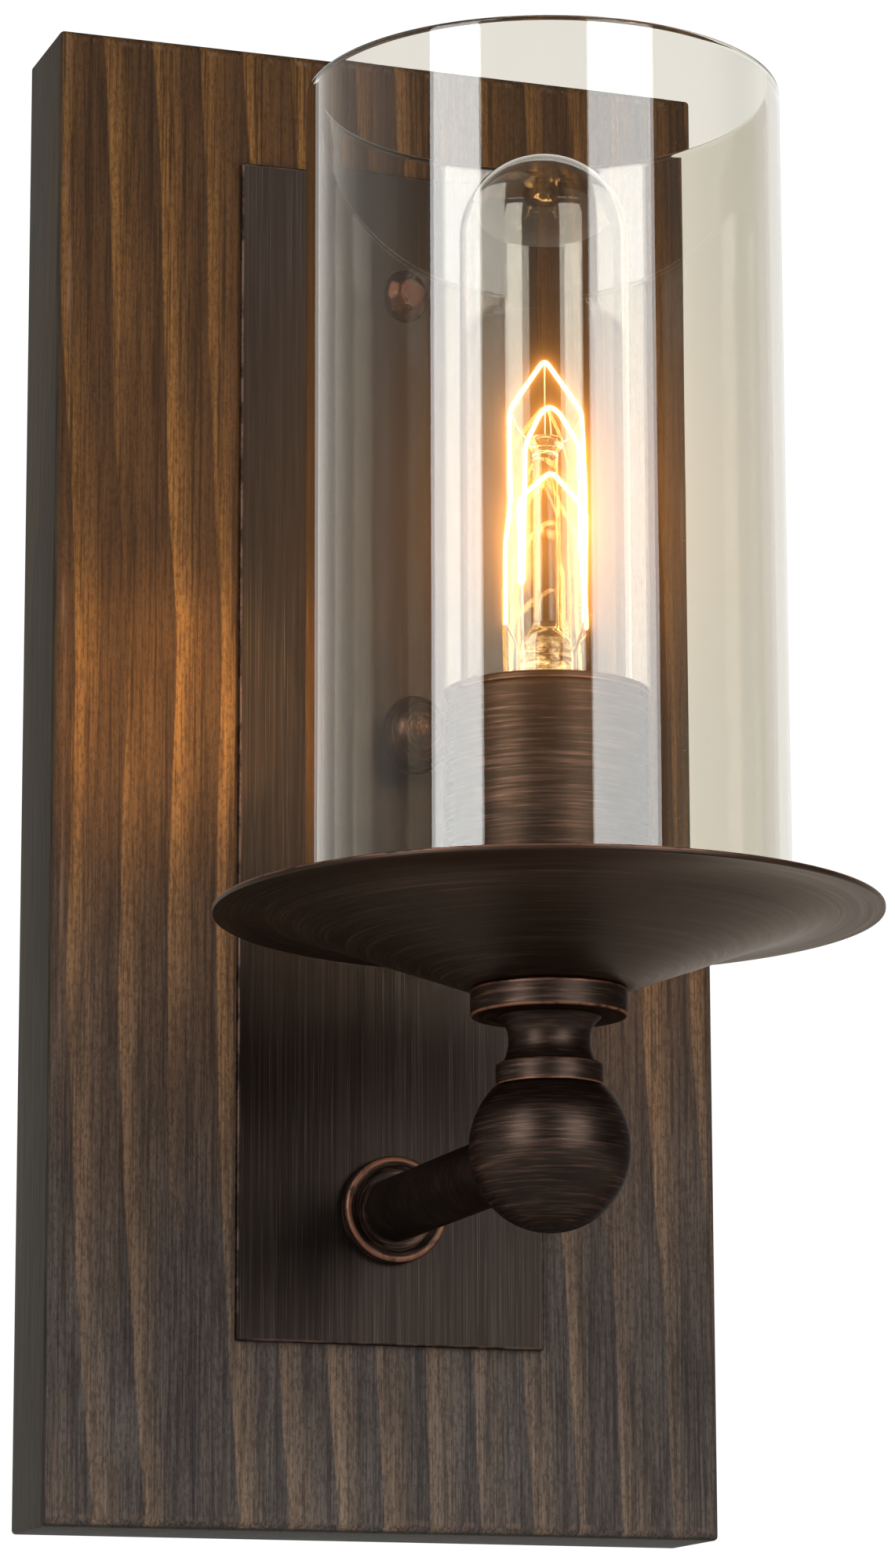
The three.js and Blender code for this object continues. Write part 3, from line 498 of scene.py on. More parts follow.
def stained_pine():
    """Dark stained pine: growth bands with one sharp side, fine grain, rubbed edges, a painted sheen toward
    the bottom and painted shade on the side faces.
    """
    n = Nodes("stained_pine")
    x, y, z = n.split(n.place)
    drift = n.streaks(2, 2, 5, 1.0, 0.4)
    sway = n.streaks(26, 26, 13, 1.0, 0.5)
    fray = n.streaks(420, 420, 30, 3.0, 0.6)
    turn = n.times(x, 1 / (RING_PERIOD * MM))
    turn = n.scaled(y, 0.22 / (RING_PERIOD * MM), turn)
    turn = n.scaled(z, RING_SLOPE / (RING_PERIOD * MM), turn)
    turn = n.scaled(drift, 1.6, turn)
    turn = n.scaled(sway, 0.6, turn)
    turn = n.scaled(fray, 0.05, turn)
    saw = n.math("FRACT", turn)
    early = n.ramp(
        saw,
        [(0.0, 0.02), (0.03, 0.90), (0.09, 1.0), (0.28, 0.60), (0.55, 0.20), (1.0, 0.0)],
    )
    which = n.streaks(90, 90, 7, 1.0)
    early = n.times(early, n.band(which, 0.20, 0.58))
    grain = n.streaks(3300, 3300, 75, 3.0, 0.6)
    fibre = n.streaks(1300, 1300, 22, 3.0, 0.6)
    blotch = n.streaks(60, 60, 22, 4.0, 0.6)
    speckle = n.streaks(2300, 2300, 800, 3.0, 0.6)
    contrast = n.band(n.scaled(fibre, 0.4, n.times(grain, 0.6)), 0.38, 0.63)
    dark = n.mix(blotch, (0.0150, 0.0074, 0.0036), (0.046, 0.0228, 0.0104))
    gold = n.mix(contrast, (0.068, 0.030, 0.0086), (0.172, 0.083, 0.0225))
    wood = n.mix(early, dark, gold)
    wood = n.mix(n.times(contrast, 0.24), wood, (0.118, 0.057, 0.021))
    pore = n.outside(fibre, 0.36, 0.47)
    wood = n.mix(n.times(pore, 0.42), wood, (0.010, 0.0055, 0.0026))
    wood = n.mix(n.times(n.band(speckle, 0.46, 0.62), 0.40), wood, (0.016, 0.0080, 0.0045))
    # Painted sheen and painted light: the wood turns greyer and lighter toward the bottom of the board,
    # standing in for the sheen its finish shows there.
    painted_low_sheen = n.times(n.band(z, 0.02, -0.14), n.scaled(blotch, 0.7, 0.35))
    low_sheen_wood = n.mix(contrast, (0.037, 0.0350, 0.0350), (0.104, 0.091, 0.084))
    low_sheen_wood = n.mix(early, low_sheen_wood, n.mix(contrast, (0.118, 0.086, 0.064), (0.225, 0.167, 0.127)))
    low_sheen_wood = n.mix(n.times(n.band(speckle, 0.46, 0.60), 0.42), low_sheen_wood, (0.018, 0.017, 0.018))
    wood = n.mix(painted_low_sheen, wood, low_sheen_wood)
    # Painted shade: faces turned sideways take a darker, greyer copy of the wood, standing in for the
    # dimmer light the board's sides get.
    facing = n.split(n.add("ShaderNodeTexCoord").outputs["Normal"])
    side = n.band(n.absolute(facing[1]), 0.80, 0.45)
    side_shade_wood = n.mix(contrast, (0.014, 0.0115, 0.0076), (0.040, 0.0325, 0.0220))
    wood = n.mix(n.times(side, 0.88), wood, side_shade_wood)
    half = size_of("back_board") / 2 * MM
    edge_x = n.minus(n.absolute(x), half.x - 0.0019)
    edge_z = n.minus(n.absolute(z), half.z - 0.0019)
    rim = n.math("MAXIMUM", edge_x, edge_z)
    on_rim = n.outside(n.absolute(rim), 0.0001, 0.0009)
    rubbed = n.times(on_rim, n.band(fray, 0.47, 0.66))
    front = n.band(n.times(y, -1), 0.0215, 0.0232)
    rubbed = n.times(rubbed, front)
    wood = n.mix(n.times(rubbed, 0.6), wood, (0.13, 0.082, 0.058))
    rough = n.scaled(grain, 0.22, 0.50)
    n.set(Base_Color=wood, Roughness=rough, Specular_IOR_Level=0.07)
    relief = n.math("ADD", n.times(grain, 0.6), n.times(fibre, 0.4))
    relief = n.minus(relief, n.times(early, 0.25))
    n.bump(relief, 0.45, 0.0002)
    return n.material


def axis_lines(n, centre, axis):
    """Coordinates that run round an axis: slow round it, plus height and radius in metres."""
    x, y, z = n.split(n.place)
    u = n.minus(x, centre.x * MM)
    if axis == "Z":
        v = n.minus(y, centre.y * MM)
        along = z
    else:
        v = n.minus(z, centre.z * MM)
        along = y
    radius = n.length(u, v)
    safe = n.math("MAXIMUM", radius, 1e-5)
    return n.math("DIVIDE", u, safe), n.math("DIVIDE", v, safe), along, radius


def bronze_shine(n, rough, glancing=0.3):
    """Dark oil-rubbed metal: a dull mirror. glancing is how bright it gets at low angles."""
    n.set(Roughness=rough, Metallic=0.9, Specular_IOR_Level=0.35, Anisotropic=0.35)
    n.set(Specular_Tint=(glancing, glancing * 0.9, glancing * 0.8, 1))


def brushed_bronze(name, centre, axis, copper, shine, edges=(), streak_scale=2600, glancing=0.3):
    """Oil-rubbed bronze, brushed round its axis. edges are circles where copper shows through.

    An edge is (place along the axis, radius, width of the worn band).
    """
    n = Nodes(name)
    u, v, along, radius = axis_lines(n, centre, axis)

    def lines(scale, slow, detail, roughness):
        vector = n.join(
            n.times(u, slow),
            n.times(v, slow),
            n.times(along, scale),
        )
        return n.noise(vector, 1.0, detail, roughness, w=n.times(radius, scale))

    fine = lines(streak_scale, 1.8, 3.0, 0.65)
    broad = lines(streak_scale * 0.5, 1.0, 3.0, 0.6)
    cloud = n.noise(n.place, 110, 3.0, 0.6)
    base = n.mix(cloud, (0.0165, 0.0115, 0.0085), (0.040, 0.027, 0.021))
    worn = n.band(n.scaled(broad, 0.5, n.times(fine, 0.5)), 0.45, 0.68)
    base = n.mix(n.times(worn, copper), base, (0.150, 0.084, 0.062))
    scratch = n.band(fine, 0.62, 0.72)
    base = n.mix(n.times(scratch, copper * 0.8), base, (0.23, 0.130, 0.094))
    for place, ring, width in edges:
        gap = n.length(n.minus(along, place * MM), n.minus(radius, ring * MM))
        near = n.outside(gap, width * MM * 0.35, width * MM)
        patchy = n.times(near, n.band(n.noise(n.place, 300, 3.0, 0.6), 0.28, 0.55))
        base = n.mix(n.times(patchy, 0.85), base, (0.24, 0.105, 0.066))
    n.set(Base_Color=base)
    bronze_shine(n, n.scaled(fine, 0.24, shine), glancing)
    n.bump(n.scaled(broad, 0.5, fine), 0.28, 0.00006)
    return n.material


def plate_bronze():
    """Dark bronze sheet with long vertical brush lines, faintly bright edges and painted shade toward the
    top.
    """
    n = Nodes("plate_bronze")
    x, _, z = n.split(n.place)
    fine = n.streaks(4200, 4200, 22, 3.0, 0.7)
    broad = n.streaks(1100, 1100, 9, 3.0, 0.6)
    tint = n.streaks(60, 60, 12, 3.0, 0.5)
    base = n.mix(tint, (0.0110, 0.0088, 0.0074), (0.0255, 0.0182, 0.0142))
    base = n.mix(n.times(n.band(broad, 0.44, 0.68), 0.22), base, (0.060, 0.040, 0.031))
    base = n.mix(n.times(n.band(fine, 0.52, 0.70), 0.5), base, (0.090, 0.074, 0.064))
    # Painted shade: the plate is darkened toward the top, standing in for a dimmer sheen there.
    painted_top_shade = n.band(z, -0.03, 0.08)
    base = n.mix(n.times(painted_top_shade, 0.45), base, (0.0055, 0.0046, 0.0040))
    low, high = mm_box("face_plate")
    middle = (low + high) / 2 * MM
    half = (high - low) / 2 * MM
    edge_x = n.minus(n.absolute(n.minus(x, middle.x)), half.x)
    edge_z = n.minus(n.absolute(n.minus(z, middle.z)), half.z)
    rim = n.band(n.math("MAXIMUM", edge_x, edge_z), -0.0006, -0.0001)
    chipped = n.band(n.noise(n.place, 180, 4.0, 0.7), 0.40, 0.62)
    base = n.mix(n.times(rim, n.times(chipped, 0.6)), base, (0.15, 0.09, 0.066))
    nick = n.band(n.noise(n.place, 260, 1.0, 0.5), 0.838, 0.846)
    base = n.mix(nick, base, (0.55, 0.28, 0.19))
    n.set(Base_Color=base)
    bronze_shine(n, n.scaled(fine, 0.25, 0.30))
    n.bump(n.scaled(broad, 0.4, fine), 0.32, 0.00005)
    return n.material


def hammered_bronze():
    n = Nodes("hammered_bronze")
    cloud = n.noise(n.place, 420, 4.0, 0.6)
    pits = n.noise(n.place, 2600, 3.0, 0.6)
    base = n.mix(cloud, (0.014, 0.007, 0.0045), (0.090, 0.037, 0.022))
    base = n.mix(n.band(pits, 0.60, 0.72), base, (0.26, 0.13, 0.088))
    n.set(Base_Color=base)
    bronze_shine(n, n.scaled(cloud, 0.22, 0.18))
    n.bump(n.scaled(pits, 0.4, cloud), 0.4, 0.0001)
    return n.material


def plated_steel(name, tint, rough_low=0.24):
    """Zinc-plated hardware: cloudy plating with fine random scuffs."""
    n = Nodes(name)
    cloud = n.noise(n.place, 170, 4.0, 0.6)
    scuff = n.streaks(2200, 500, 900, 3.0, 0.7)
    light = tuple(min(1.0, c * 1.25) for c in tint)
    base = n.mix(cloud, tuple(c * 0.72 for c in tint), light)
    base = n.mix(n.times(n.band(scuff, 0.60, 0.75), 0.5), base, (0.82, 0.82, 0.80))
    rough = n.scaled(cloud, 0.28, rough_low)
    n.set(Base_Color=base, Roughness=rough, Metallic=1.0)
    n.bump(n.scaled(scuff, 0.5, cloud), 0.25, 0.00005)
    return n.material


def moulded(name, dark, light):
    """Moulded phenolic or nylon with a faint orange-peel skin."""
    n = Nodes(name)
    cloud = n.noise(n.place, 240, 4.0, 0.6)
    peel = n.noise(n.place, 2400, 2.0, 0.5)
    base = n.mix(cloud, dark, light)
    rough = n.scaled(peel, 0.25, 0.36)
    n.set(Base_Color=base, Roughness=rough)
    n.bump(peel, 0.2, 0.00005)
    return n.material


def glass_nodes(name, tint, dust, ior=1.5):
    """Clear glass with faint drawn streaks and a little dust in its roughness."""
    n = Nodes(name)
    specks = n.noise(n.place, 1900, 2.0, 0.6)
    streaks = n.streaks(130, 130, 7, 2.0, 0.5)
    rough = n.times(n.band(specks, 0.70, 0.80), dust)
    color = n.mix(streaks, tint, tuple(min(1.0, c * 1.02) for c in tint))
    n.set(Base_Color=color, Roughness=rough, IOR=ior, Transmission_Weight=1.0)
    n.bump(streaks, 0.05, 0.0002)
    return n


def clear_glass(*settings):
    return glass_nodes(*settings).material


def lit_stem_glass(pinch):
    """The lamp's stem: clear glass whose broad foot glows with painted amber glints, standing for the
    filament's light reflected in it.
    """
    n = glass_nodes("stem_glass", (0.99, 0.97, 0.93), 0.1)
    z = n.split(n.place)[2]
    # Painted glints: emission in the stem's foot stands in for the filament's reflections in the glass.
    low_part = n.band(z, pinch * MM, (pinch - 5) * MM)
    painted_glint = n.band(n.streaks(500, 500, 900, 3.0, 0.6), 0.42, 0.66)
    color = n.mix(painted_glint, (0.55, 0.20, 0.03), (1.0, 0.72, 0.32))
    strength = n.times(low_part, n.scaled(painted_glint, 1.1, 0.10))
    n.set(Emission_Color=color, Emission_Strength=strength)
    return n.material


def hot_filament():
    n = Nodes("hot_filament")
    flicker = n.noise(n.place, 900, 2.0, 0.5)
    color = n.mix(flicker, (1.0, 0.50, 0.14), (1.0, 0.66, 0.27))
    n.set(Base_Color=(0.2, 0.1, 0.05, 1), Roughness=0.5)
    n.set(Emission_Color=color, Emission_Strength=150)
    return n.material


# ---- Attaching pieces ----
def attach(piece, body, material, slot, *nodes):
    piece.data.materials.clear()
    piece.data.materials.append(material)
    if nodes:
        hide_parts(*nodes)
    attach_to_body(piece, body)
    return piece


def refinish(node, material):
    """A CAD node that keeps its shape and takes a better material."""
    obj = frame["nodes"][node]
    obj.data.materials.clear()
    obj.data.materials.append(material)


# ---- Board and plate ----
def slab(name, low, high, corner, front_round, back_round):
    """A board lying against the wall plane: rounded corners, rounded front and back edges."""
    levels = []
    for round_size, side, sign in ((back_round, high.y, -1), (front_round, low.y, 1)):
        steps = [i / EDGE_STEPS * math.pi / 2 for i in range(EDGE_STEPS + 1)]
        if side == low.y:
            steps.reverse()
        for t in steps:
            inset = round_size * (1 - math.sin(t))
            levels.append((side + sign * round_size * (1 - math.cos(t)), inset))
    levels.insert(0, (high.y, back_round + SUPPORT))
    levels.append((low.y, front_round + SUPPORT))
    bm = bmesh.new()
    rings = []
    for y, inset in levels:
        ring = []
        for sx, sz, start in ((1, 1, 0), (-1, 1, 90), (-1, -1, 180), (1, -1, 270)):
            middle_x = (high.x if sx > 0 else low.x) - sx * (inset + corner)
            middle_z = (high.z if sz > 0 else low.z) - sz * (inset + corner)
            for i in range(CORNER_STEPS + 1):
                angle = math.radians(start + 90 * i / CORNER_STEPS)
                x = middle_x + corner * math.cos(angle)
                z = middle_z + corner * math.sin(angle)
                ring.append(bm.verts.new((x, y, z)))
        rings.append(ring)
    for back, front in zip(rings, rings[1:]):
        for i, vert in enumerate(back):
            n = (i + 1) % len(back)
            bm.faces.new((vert, back[n], front[n], front[i]))
    bm.faces.new(rings[0])
    bm.faces.new(rings[-1])
    return finish_mesh(name, bm)


def build_board():
    low, high = mm_box("back_board")
    board = slab("board", low, high, BOARD_CORNER, BOARD_ROUND, 0.6)
    over = 1
    channel = block(
        "channel",
        Vector((-CHANNEL_WIDTH / 2, -RECESS_DEPTH, ARM_Z)),
        Vector((CHANNEL_WIDTH / 2, over, NUT_Z)),
    )
    tools = [
        rod("recess", RECESS_RADIUS, -over, RECESS_DEPTH, NUT_LINE, "Y", FINE),
        rod("pocket", POCKET_RADIUS, -over, RECESS_DEPTH, ARM_LINE, "Y"),
        channel,
        rod("rod_hole", ROD_HOLE_RADIUS, -over, -low.y + over, NUT_LINE, "Y"),
        rod("pipe_hole", PIPE_HOLE_RADIUS, -over, -low.y + over, ARM_LINE, "Y"),
    ]
    boolean(board, "DIFFERENCE", tools)
    attach(board, "frame", stained_pine(), "stained_pine", "back_board")


def build_plate():
    low, high = mm_box("face_plate")
    plate = slab("plate", low, high, 0.4, 0.35, 0.1)
    tools = [
        rod("rod_hole", ROD_HOLE_RADIUS, 20, 40, NUT_LINE, "Y"),
        rod("pipe_hole", PIPE_HOLE_RADIUS, 20, 40, ARM_LINE, "Y"),
    ]
    boolean(plate, "DIFFERENCE", tools)
    attach(plate, "frame", plate_bronze(), "plate_bronze", "face_plate")


def build_hammered_stud():
    """A dome struck flat in many small facets, on a thin rim, with its shank in the board."""
    radius, _, crown = extent("hammered_stud", "Y")
    base = -mm_box("face_plate")[0].y + 0.15
    foot = base + 0.7
    rise = crown - base - 0.7
    origin = Vector((0, 0, STUD_Z))
    middle = origin + Vector((0, -base + 1.6, 0))

    def dome(count):
        turns = [i / count * math.pi / 2 for i in range(count + 1)]
        return [(radius * math.cos(t), foot + rise * math.sin(t)) for t in turns]

    def dome_reach(out):
        """How far the plain dome reaches from its middle in a direction."""
        angle = math.atan2(out.z, out.x)
        point = placer(origin, "Y")
        return max([0.0, *((point(r, angle, height) - middle).dot(out) for r, height in dome(24))])

    bm = bmesh.new()
    profile = [(0, base), (radius * 0.985, base), *dome(16)[:-1], (0, crown)]
    revolve(bm, profile, origin, "Y", 64)
    blows = []
    for ring, (tilt, number) in enumerate(((8, 1), (38, 6), (66, 10))):
        for k in range(number):
            angle = 2 * math.pi * k / number + ring * 0.7 + 0.35 * math.sin(7.0 * k + ring)
            lean = math.radians(tilt + 4 * math.sin(5.0 * k + 2.0 * ring))
            side = math.sin(lean)
            blows.append(Vector((side * math.cos(angle), -math.cos(lean), side * math.sin(angle))))
    limits = [dome_reach(out) - BLOW_DEPTH for out in blows]
    for vert in bm.verts:
        if -vert.co.y < base + 0.3:
            continue
        for out, limit in zip(blows, limits):
            reach = (vert.co - middle).dot(out)
            if reach > limit:
                vert.co -= out * (reach - limit)
    head = finish_mesh("hammered_stud_head", bm, 22)
    shank = [(0, base - 18), (1.78, base - 15), (1.78, base + 0.2), (0, base + 0.2)]
    whole = merged("stud", [head, turned("stud_shank", shank, origin, "Y", SMALL)])
    attach(whole, "frame", hammered_bronze(), "hammered_bronze", "hammered_stud")


# ---- Arm and column ----
def build_pipe(name, node, axis, line, threaded, at_end):
    """Wire pipe with a thread on one end; the rest is plain and a little thinner."""
    outer, start, end = extent(node, axis)
    plain = outer - 0.3
    if at_end:
        outside = [(plain, start), *rows(outer, end - threaded, end, PIPE_PITCH / THREAD_ROWS)]
        run = (end - threaded, end + 5)
    else:
        outside = [*rows(outer, start, start + threaded, PIPE_PITCH / THREAD_ROWS), (plain, end)]
        run = (start, start + threaded)
    profile = [(PIPE_BORE_RADIUS, start), *outside, (PIPE_BORE_RADIUS, end), (PIPE_BORE_RADIUS, start)]
    ridge = thread(0.45, PIPE_PITCH, run, lambda r, h: r > PIPE_BORE_RADIUS + 0.5)
    pipe = turned(name, profile, line, axis, SMALL, 60, ridge)
    attach(pipe, "frame", STEEL, "zinc_steel", node)


def build_arm():
    radius, back, crown = extent("arm_flange", "Y")
    flange = fillet(
        [
            (PIPE_HOLE_RADIUS, back),
            (radius, back, 0.3),
            (radius, crown - 0.3, 0.9),
            (radius - 1.3, crown, 1.0),
            (radius - 2.7, crown - 0.75, 1.0),
            (PIPE_HOLE_RADIUS + 2.0, crown - 0.85, 0.3),
            (PIPE_HOLE_RADIUS, crown - 0.85),
            (PIPE_HOLE_RADIUS, back),
        ]
    )
    piece = turned("flange", flange, ARM_LINE, "Y", smooth_angle=50)
    rim = [(-crown + 0.15, radius - 0.6, 0.75)]
    material = brushed_bronze("worn_bronze_flange", ARM_LINE, "Y", 0.90, 0.36, rim)
    attach(piece, "frame", material, "worn_bronze", "arm_flange")
    piece = turned("arm", tube_profile(PIPE_HOLE_RADIUS, *extent("arm_tube", "Y"), 0.2), ARM_LINE, "Y")
    material = brushed_bronze("turned_bronze_arm", ARM_LINE, "Y", 0.14, 0.34)
    attach(piece, "frame", material, "turned_bronze", "arm_tube")
    build_pipe("threaded_pipe", "arm_pipe", "Y", ARM_LINE, 14, False)


def build_ball():
    """A ball a little taller than wide, faced flat on top and bored for both pipes."""
    radius, low, high = extent("arm_ball")
    foot = ARM_Z - low - SKIN_GAP
    flat = high - ARM_Z - SKIN_GAP
    start = math.acos(flat / foot)
    profile = [(0, flat), (radius * math.sin(start) - 0.35, flat)]
    profile += arc(radius, foot, 0, start + 0.02, math.pi, 48)
    middle = COLUMN + ARM_LINE
    ball = turned("ball", profile, middle, "Z", FINE)
    past = 40
    tools = [
        rod("side_bore", PIPE_HOLE_RADIUS, -past, 0, middle, "Y"),
        rod("top_bore", PIPE_HOLE_RADIUS, 0, past, middle, "Z"),
    ]
    boolean(ball, "DIFFERENCE", tools)
    material = brushed_bronze("turned_bronze_ball", COLUMN, "Z", 0.40, 0.24, (), 3000)
    attach(ball, "frame", material, "turned_bronze", "arm_ball")


def build_ring(name, node, slot, low_round, high_round, copper, worn):
    """A turned ring on the column, with copper showing along its two outer edges."""
    radius, start, end = extent(node)
    profile = fillet(
        [
            (PIPE_HOLE_RADIUS, start),
            (radius, start, low_round),
            (radius, end, high_round),
            (PIPE_HOLE_RADIUS, end),
            (PIPE_HOLE_RADIUS, start),
        ]
    )
    edges = [(height, radius + SKIN_GAP, worn) for height in (start, end)]
    material = brushed_bronze(f"{slot}_{name}", COLUMN, "Z", copper, 0.28, edges)
    attach(turned(name, profile, COLUMN), "frame", material, slot, node)


def build_stack():
    build_ring("collar", "ball_collar", "turned_bronze", 0.35, 0.6, 0.30, 0.55)
    head, start, end = extent("neck_spool")
    waist, foot = head * 0.79, head * 0.905
    waist_at = 0.45
    profile = [(PIPE_HOLE_RADIUS, start)]
    count = 24
    for i in range(count + 1):
        t = i / count
        if t < waist_at:
            flare = waist + (foot - waist) * (1 - t / waist_at) ** 2
        else:
            flare = waist + (head - waist) * ((t - waist_at) / (1 - waist_at)) ** 3
        profile.append((flare, start + (end - start) * t))
    profile += [(PIPE_HOLE_RADIUS, end), (PIPE_HOLE_RADIUS, start)]
    material = brushed_bronze("turned_bronze_neck", COLUMN, "Z", 0.22, 0.25)
    attach(turned("neck", profile, COLUMN), "frame", material, "turned_bronze", "neck_spool")
    build_ring("disc", "seat_disc", "worn_bronze", 0.5, 0.35, 0.50, 0.65)


def build_dish():
    """Spun dish: flat hub, long cone, softly rolled crease and a flat brim."""
    radius, foot, top = extent("drip_dish")
    hub = size_of("seat_disc").x / 2
    crease = radius - DISH_BRIM
    brim = top - DISH_SKIN
    profile = fillet(
        [
            (PIPE_HOLE_RADIUS, foot),
            (hub, foot, 2.0),
            (crease, brim, 6.0),
            (radius, brim + 0.02, 0.35),
            (radius, top, 0.35),
            (crease, top, 6.0),
            (hub, foot + DISH_SKIN, 2.0),
            (PIPE_HOLE_RADIUS, foot + DISH_SKIN),
            (PIPE_HOLE_RADIUS, foot),
        ],
        steps=10,
    )
    piece = turned("dish", profile, COLUMN, "Z", 192, 50)
    rim = [(top, radius, 0.45)]
    material = brushed_bronze("dish_bronze", COLUMN, "Z", 0.25, 0.29, rim, 1900, 0.95)
    attach(piece, "frame", material, "dish_bronze", "drip_dish")


# ---- Hardware ----
def build_nut(name, node, bore, axis, line):
    """Hexagon nut with both faces chamfered to a circle."""
    _, start, end = extent(node, axis)
    low, high = mm_box(node)
    across = high.y - low.y if axis == "Z" else high.z - low.z
    corner = across / math.sqrt(3) - SKIN_GAP
    inner = across / 2 - 0.1
    slope = (corner - inner) * 0.55
    nut = turned(name, [(0, start), (corner, start), (corner, end), (0, end)], line, axis, 6)
    keeper = [
        (0, start - 0.01),
        (inner, start - 0.01),
        (corner + 0.2, start + slope),
        (corner + 0.2, end - slope),
        (inner, end + 0.01),
        (0, end + 0.01),
    ]
    boolean(nut, "INTERSECT", [turned(name + "_keeper", keeper, line, axis, SMALL)])
    boolean(nut, "DIFFERENCE", [rod(name + "_bore", bore, start - 1, end + 1, line, axis)])
    attach(nut, "frame", STEEL, "zinc_steel", node)


def build_pan_screw(name, node, material, slot):
    """Pan-head screw with a cross recess and a threaded shank."""
    middle = centre_of(node)
    line = Vector((middle.x, 0, middle.z))
    radius, tip, crown = extent(node, "Y")
    shank = radius / 2 - SKIN_GAP
    head = crown - 2.4
    profile = [(0, tip), *rows(shank, tip, head, STUD_PITCH / THREAD_ROWS)]
    profile += fillet([(shank, head), (radius, head, 0.2), (radius, head + 1.5, 1.2), (0, crown)])[1:]
    ridge = thread(0.35, STUD_PITCH, (tip, head), lambda r, h: r < shank + 0.01)
    screw = turned(name, profile, line, "Y", SMALL, 50, ridge)
    top, floor, long, thin = -crown - 0.5, -crown + 1.3, 2, 0.4
    cross = [
        block(f"{name}_slot_{x}", line + Vector((-x, top, -z)), line + Vector((x, floor, z)))
        for x, z in ((long, thin), (thin, long))
    ]
    boolean(screw, "DIFFERENCE", cross)
    attach(screw, "frame", material, slot, node)


def build_hardware():
    refinish("crossbar", STEEL)
    refinish("socket_strap", STEEL)
    refinish("socket_contact", BRASS)
    for side in ("left", "right"):
        build_pan_screw(f"box_screw_{side}_fine", f"box_screw_{side}", STEEL, "zinc_steel")
        refinish(f"terminal_screw_{side}", BRASS)
    green = plated_steel("ground_green", (0.035, 0.23, 0.085), 0.3)
    build_pan_screw("ground_screw_fine", "ground_screw", green, "ground_green")
    build_nut("stud_lock_nut", "stud_nut", ROD_HOLE_RADIUS, "Y", NUT_LINE)
    build_nut("arm_lock_nut", "arm_nut", PIPE_HOLE_RADIUS, "Y", ARM_LINE)
    build_nut("dish_lock_nut", "dish_nut", PIPE_HOLE_RADIUS, "Z", COLUMN)
    for name, node, axis, line in (
        ("arm_washer_fine", "arm_washer", "Y", ARM_LINE),
        ("dish_washer_fine", "dish_washer", "Z", COLUMN),
    ):
        profile = tube_profile(PIPE_HOLE_RADIUS, *extent(node, axis), 0.25)
        attach(turned(name, profile, line, axis, 64), "frame", STEEL, "zinc_steel", node)
    profile = tube_profile(PIPE_BORE_RADIUS, *extent("wire_bushing", "Y"), 0.6)
    bushing = turned("bushing", profile, ARM_LINE, "Y", 64)
    nylon = moulded("bushing_nylon", (0.012, 0.012, 0.012), (0.03, 0.03, 0.03))
    attach(bushing, "frame", nylon, "bushing_nylon", "wire_bushing")
    radius, start, end = extent("threaded_stud", "Y")
    crest = rows(radius, start + 0.1, end - 0.1, STUD_PITCH / THREAD_ROWS)
    ridge = thread(0.38, STUD_PITCH)
    stud = turned("stud_rod", [(0, start), *crest, (0, end)], NUT_LINE, "Y", 32, 70, ridge)
    attach(stud, "frame", STEEL, "zinc_steel", "threaded_stud")
    build_pipe("column_pipe_fine", "column_pipe", "Z", COLUMN, 16, True)


# ---- Cap nut ----
def build_cap_nut():
    radius = size_of("cap_nut").z / 2 - SKIN_GAP
    _, back, crown = extent("cap_nut", "Y")
    centre = crown - radius - SKIN_GAP
    face = math.sqrt(max(1.0, radius**2 - (centre - back) ** 2))
    blind = back + 10
    profile = [(0, blind), (ROD_HOLE_RADIUS, blind), (ROD_HOLE_RADIUS, back), (face - 0.25, back)]
    profile += arc(radius, -radius, centre, math.asin(face / radius) + 0.03, math.pi, 40)
    nut = turned("round_nut", profile, NUT_LINE, "Y", 96)
    # The copper amount is high both for the nut's copper wear and as painted light standing in for the
    # filament's warm glint on it.
    material = brushed_bronze("turned_bronze_nut", NUT_LINE, "Y", 0.9, 0.20)
    attach(nut, "nut", material, "turned_bronze", "cap_nut")
    profile = tube_profile(ROD_HOLE_RADIUS, *extent("cap_washer", "Y"), 0.25)
    washer = turned("round_nut_washer", profile, NUT_LINE, "Y", 64)
    material = brushed_bronze("turned_bronze_washer", NUT_LINE, "Y", 0.4, 0.3)
    attach(washer, "nut_washer", material, "turned_bronze", "cap_washer")


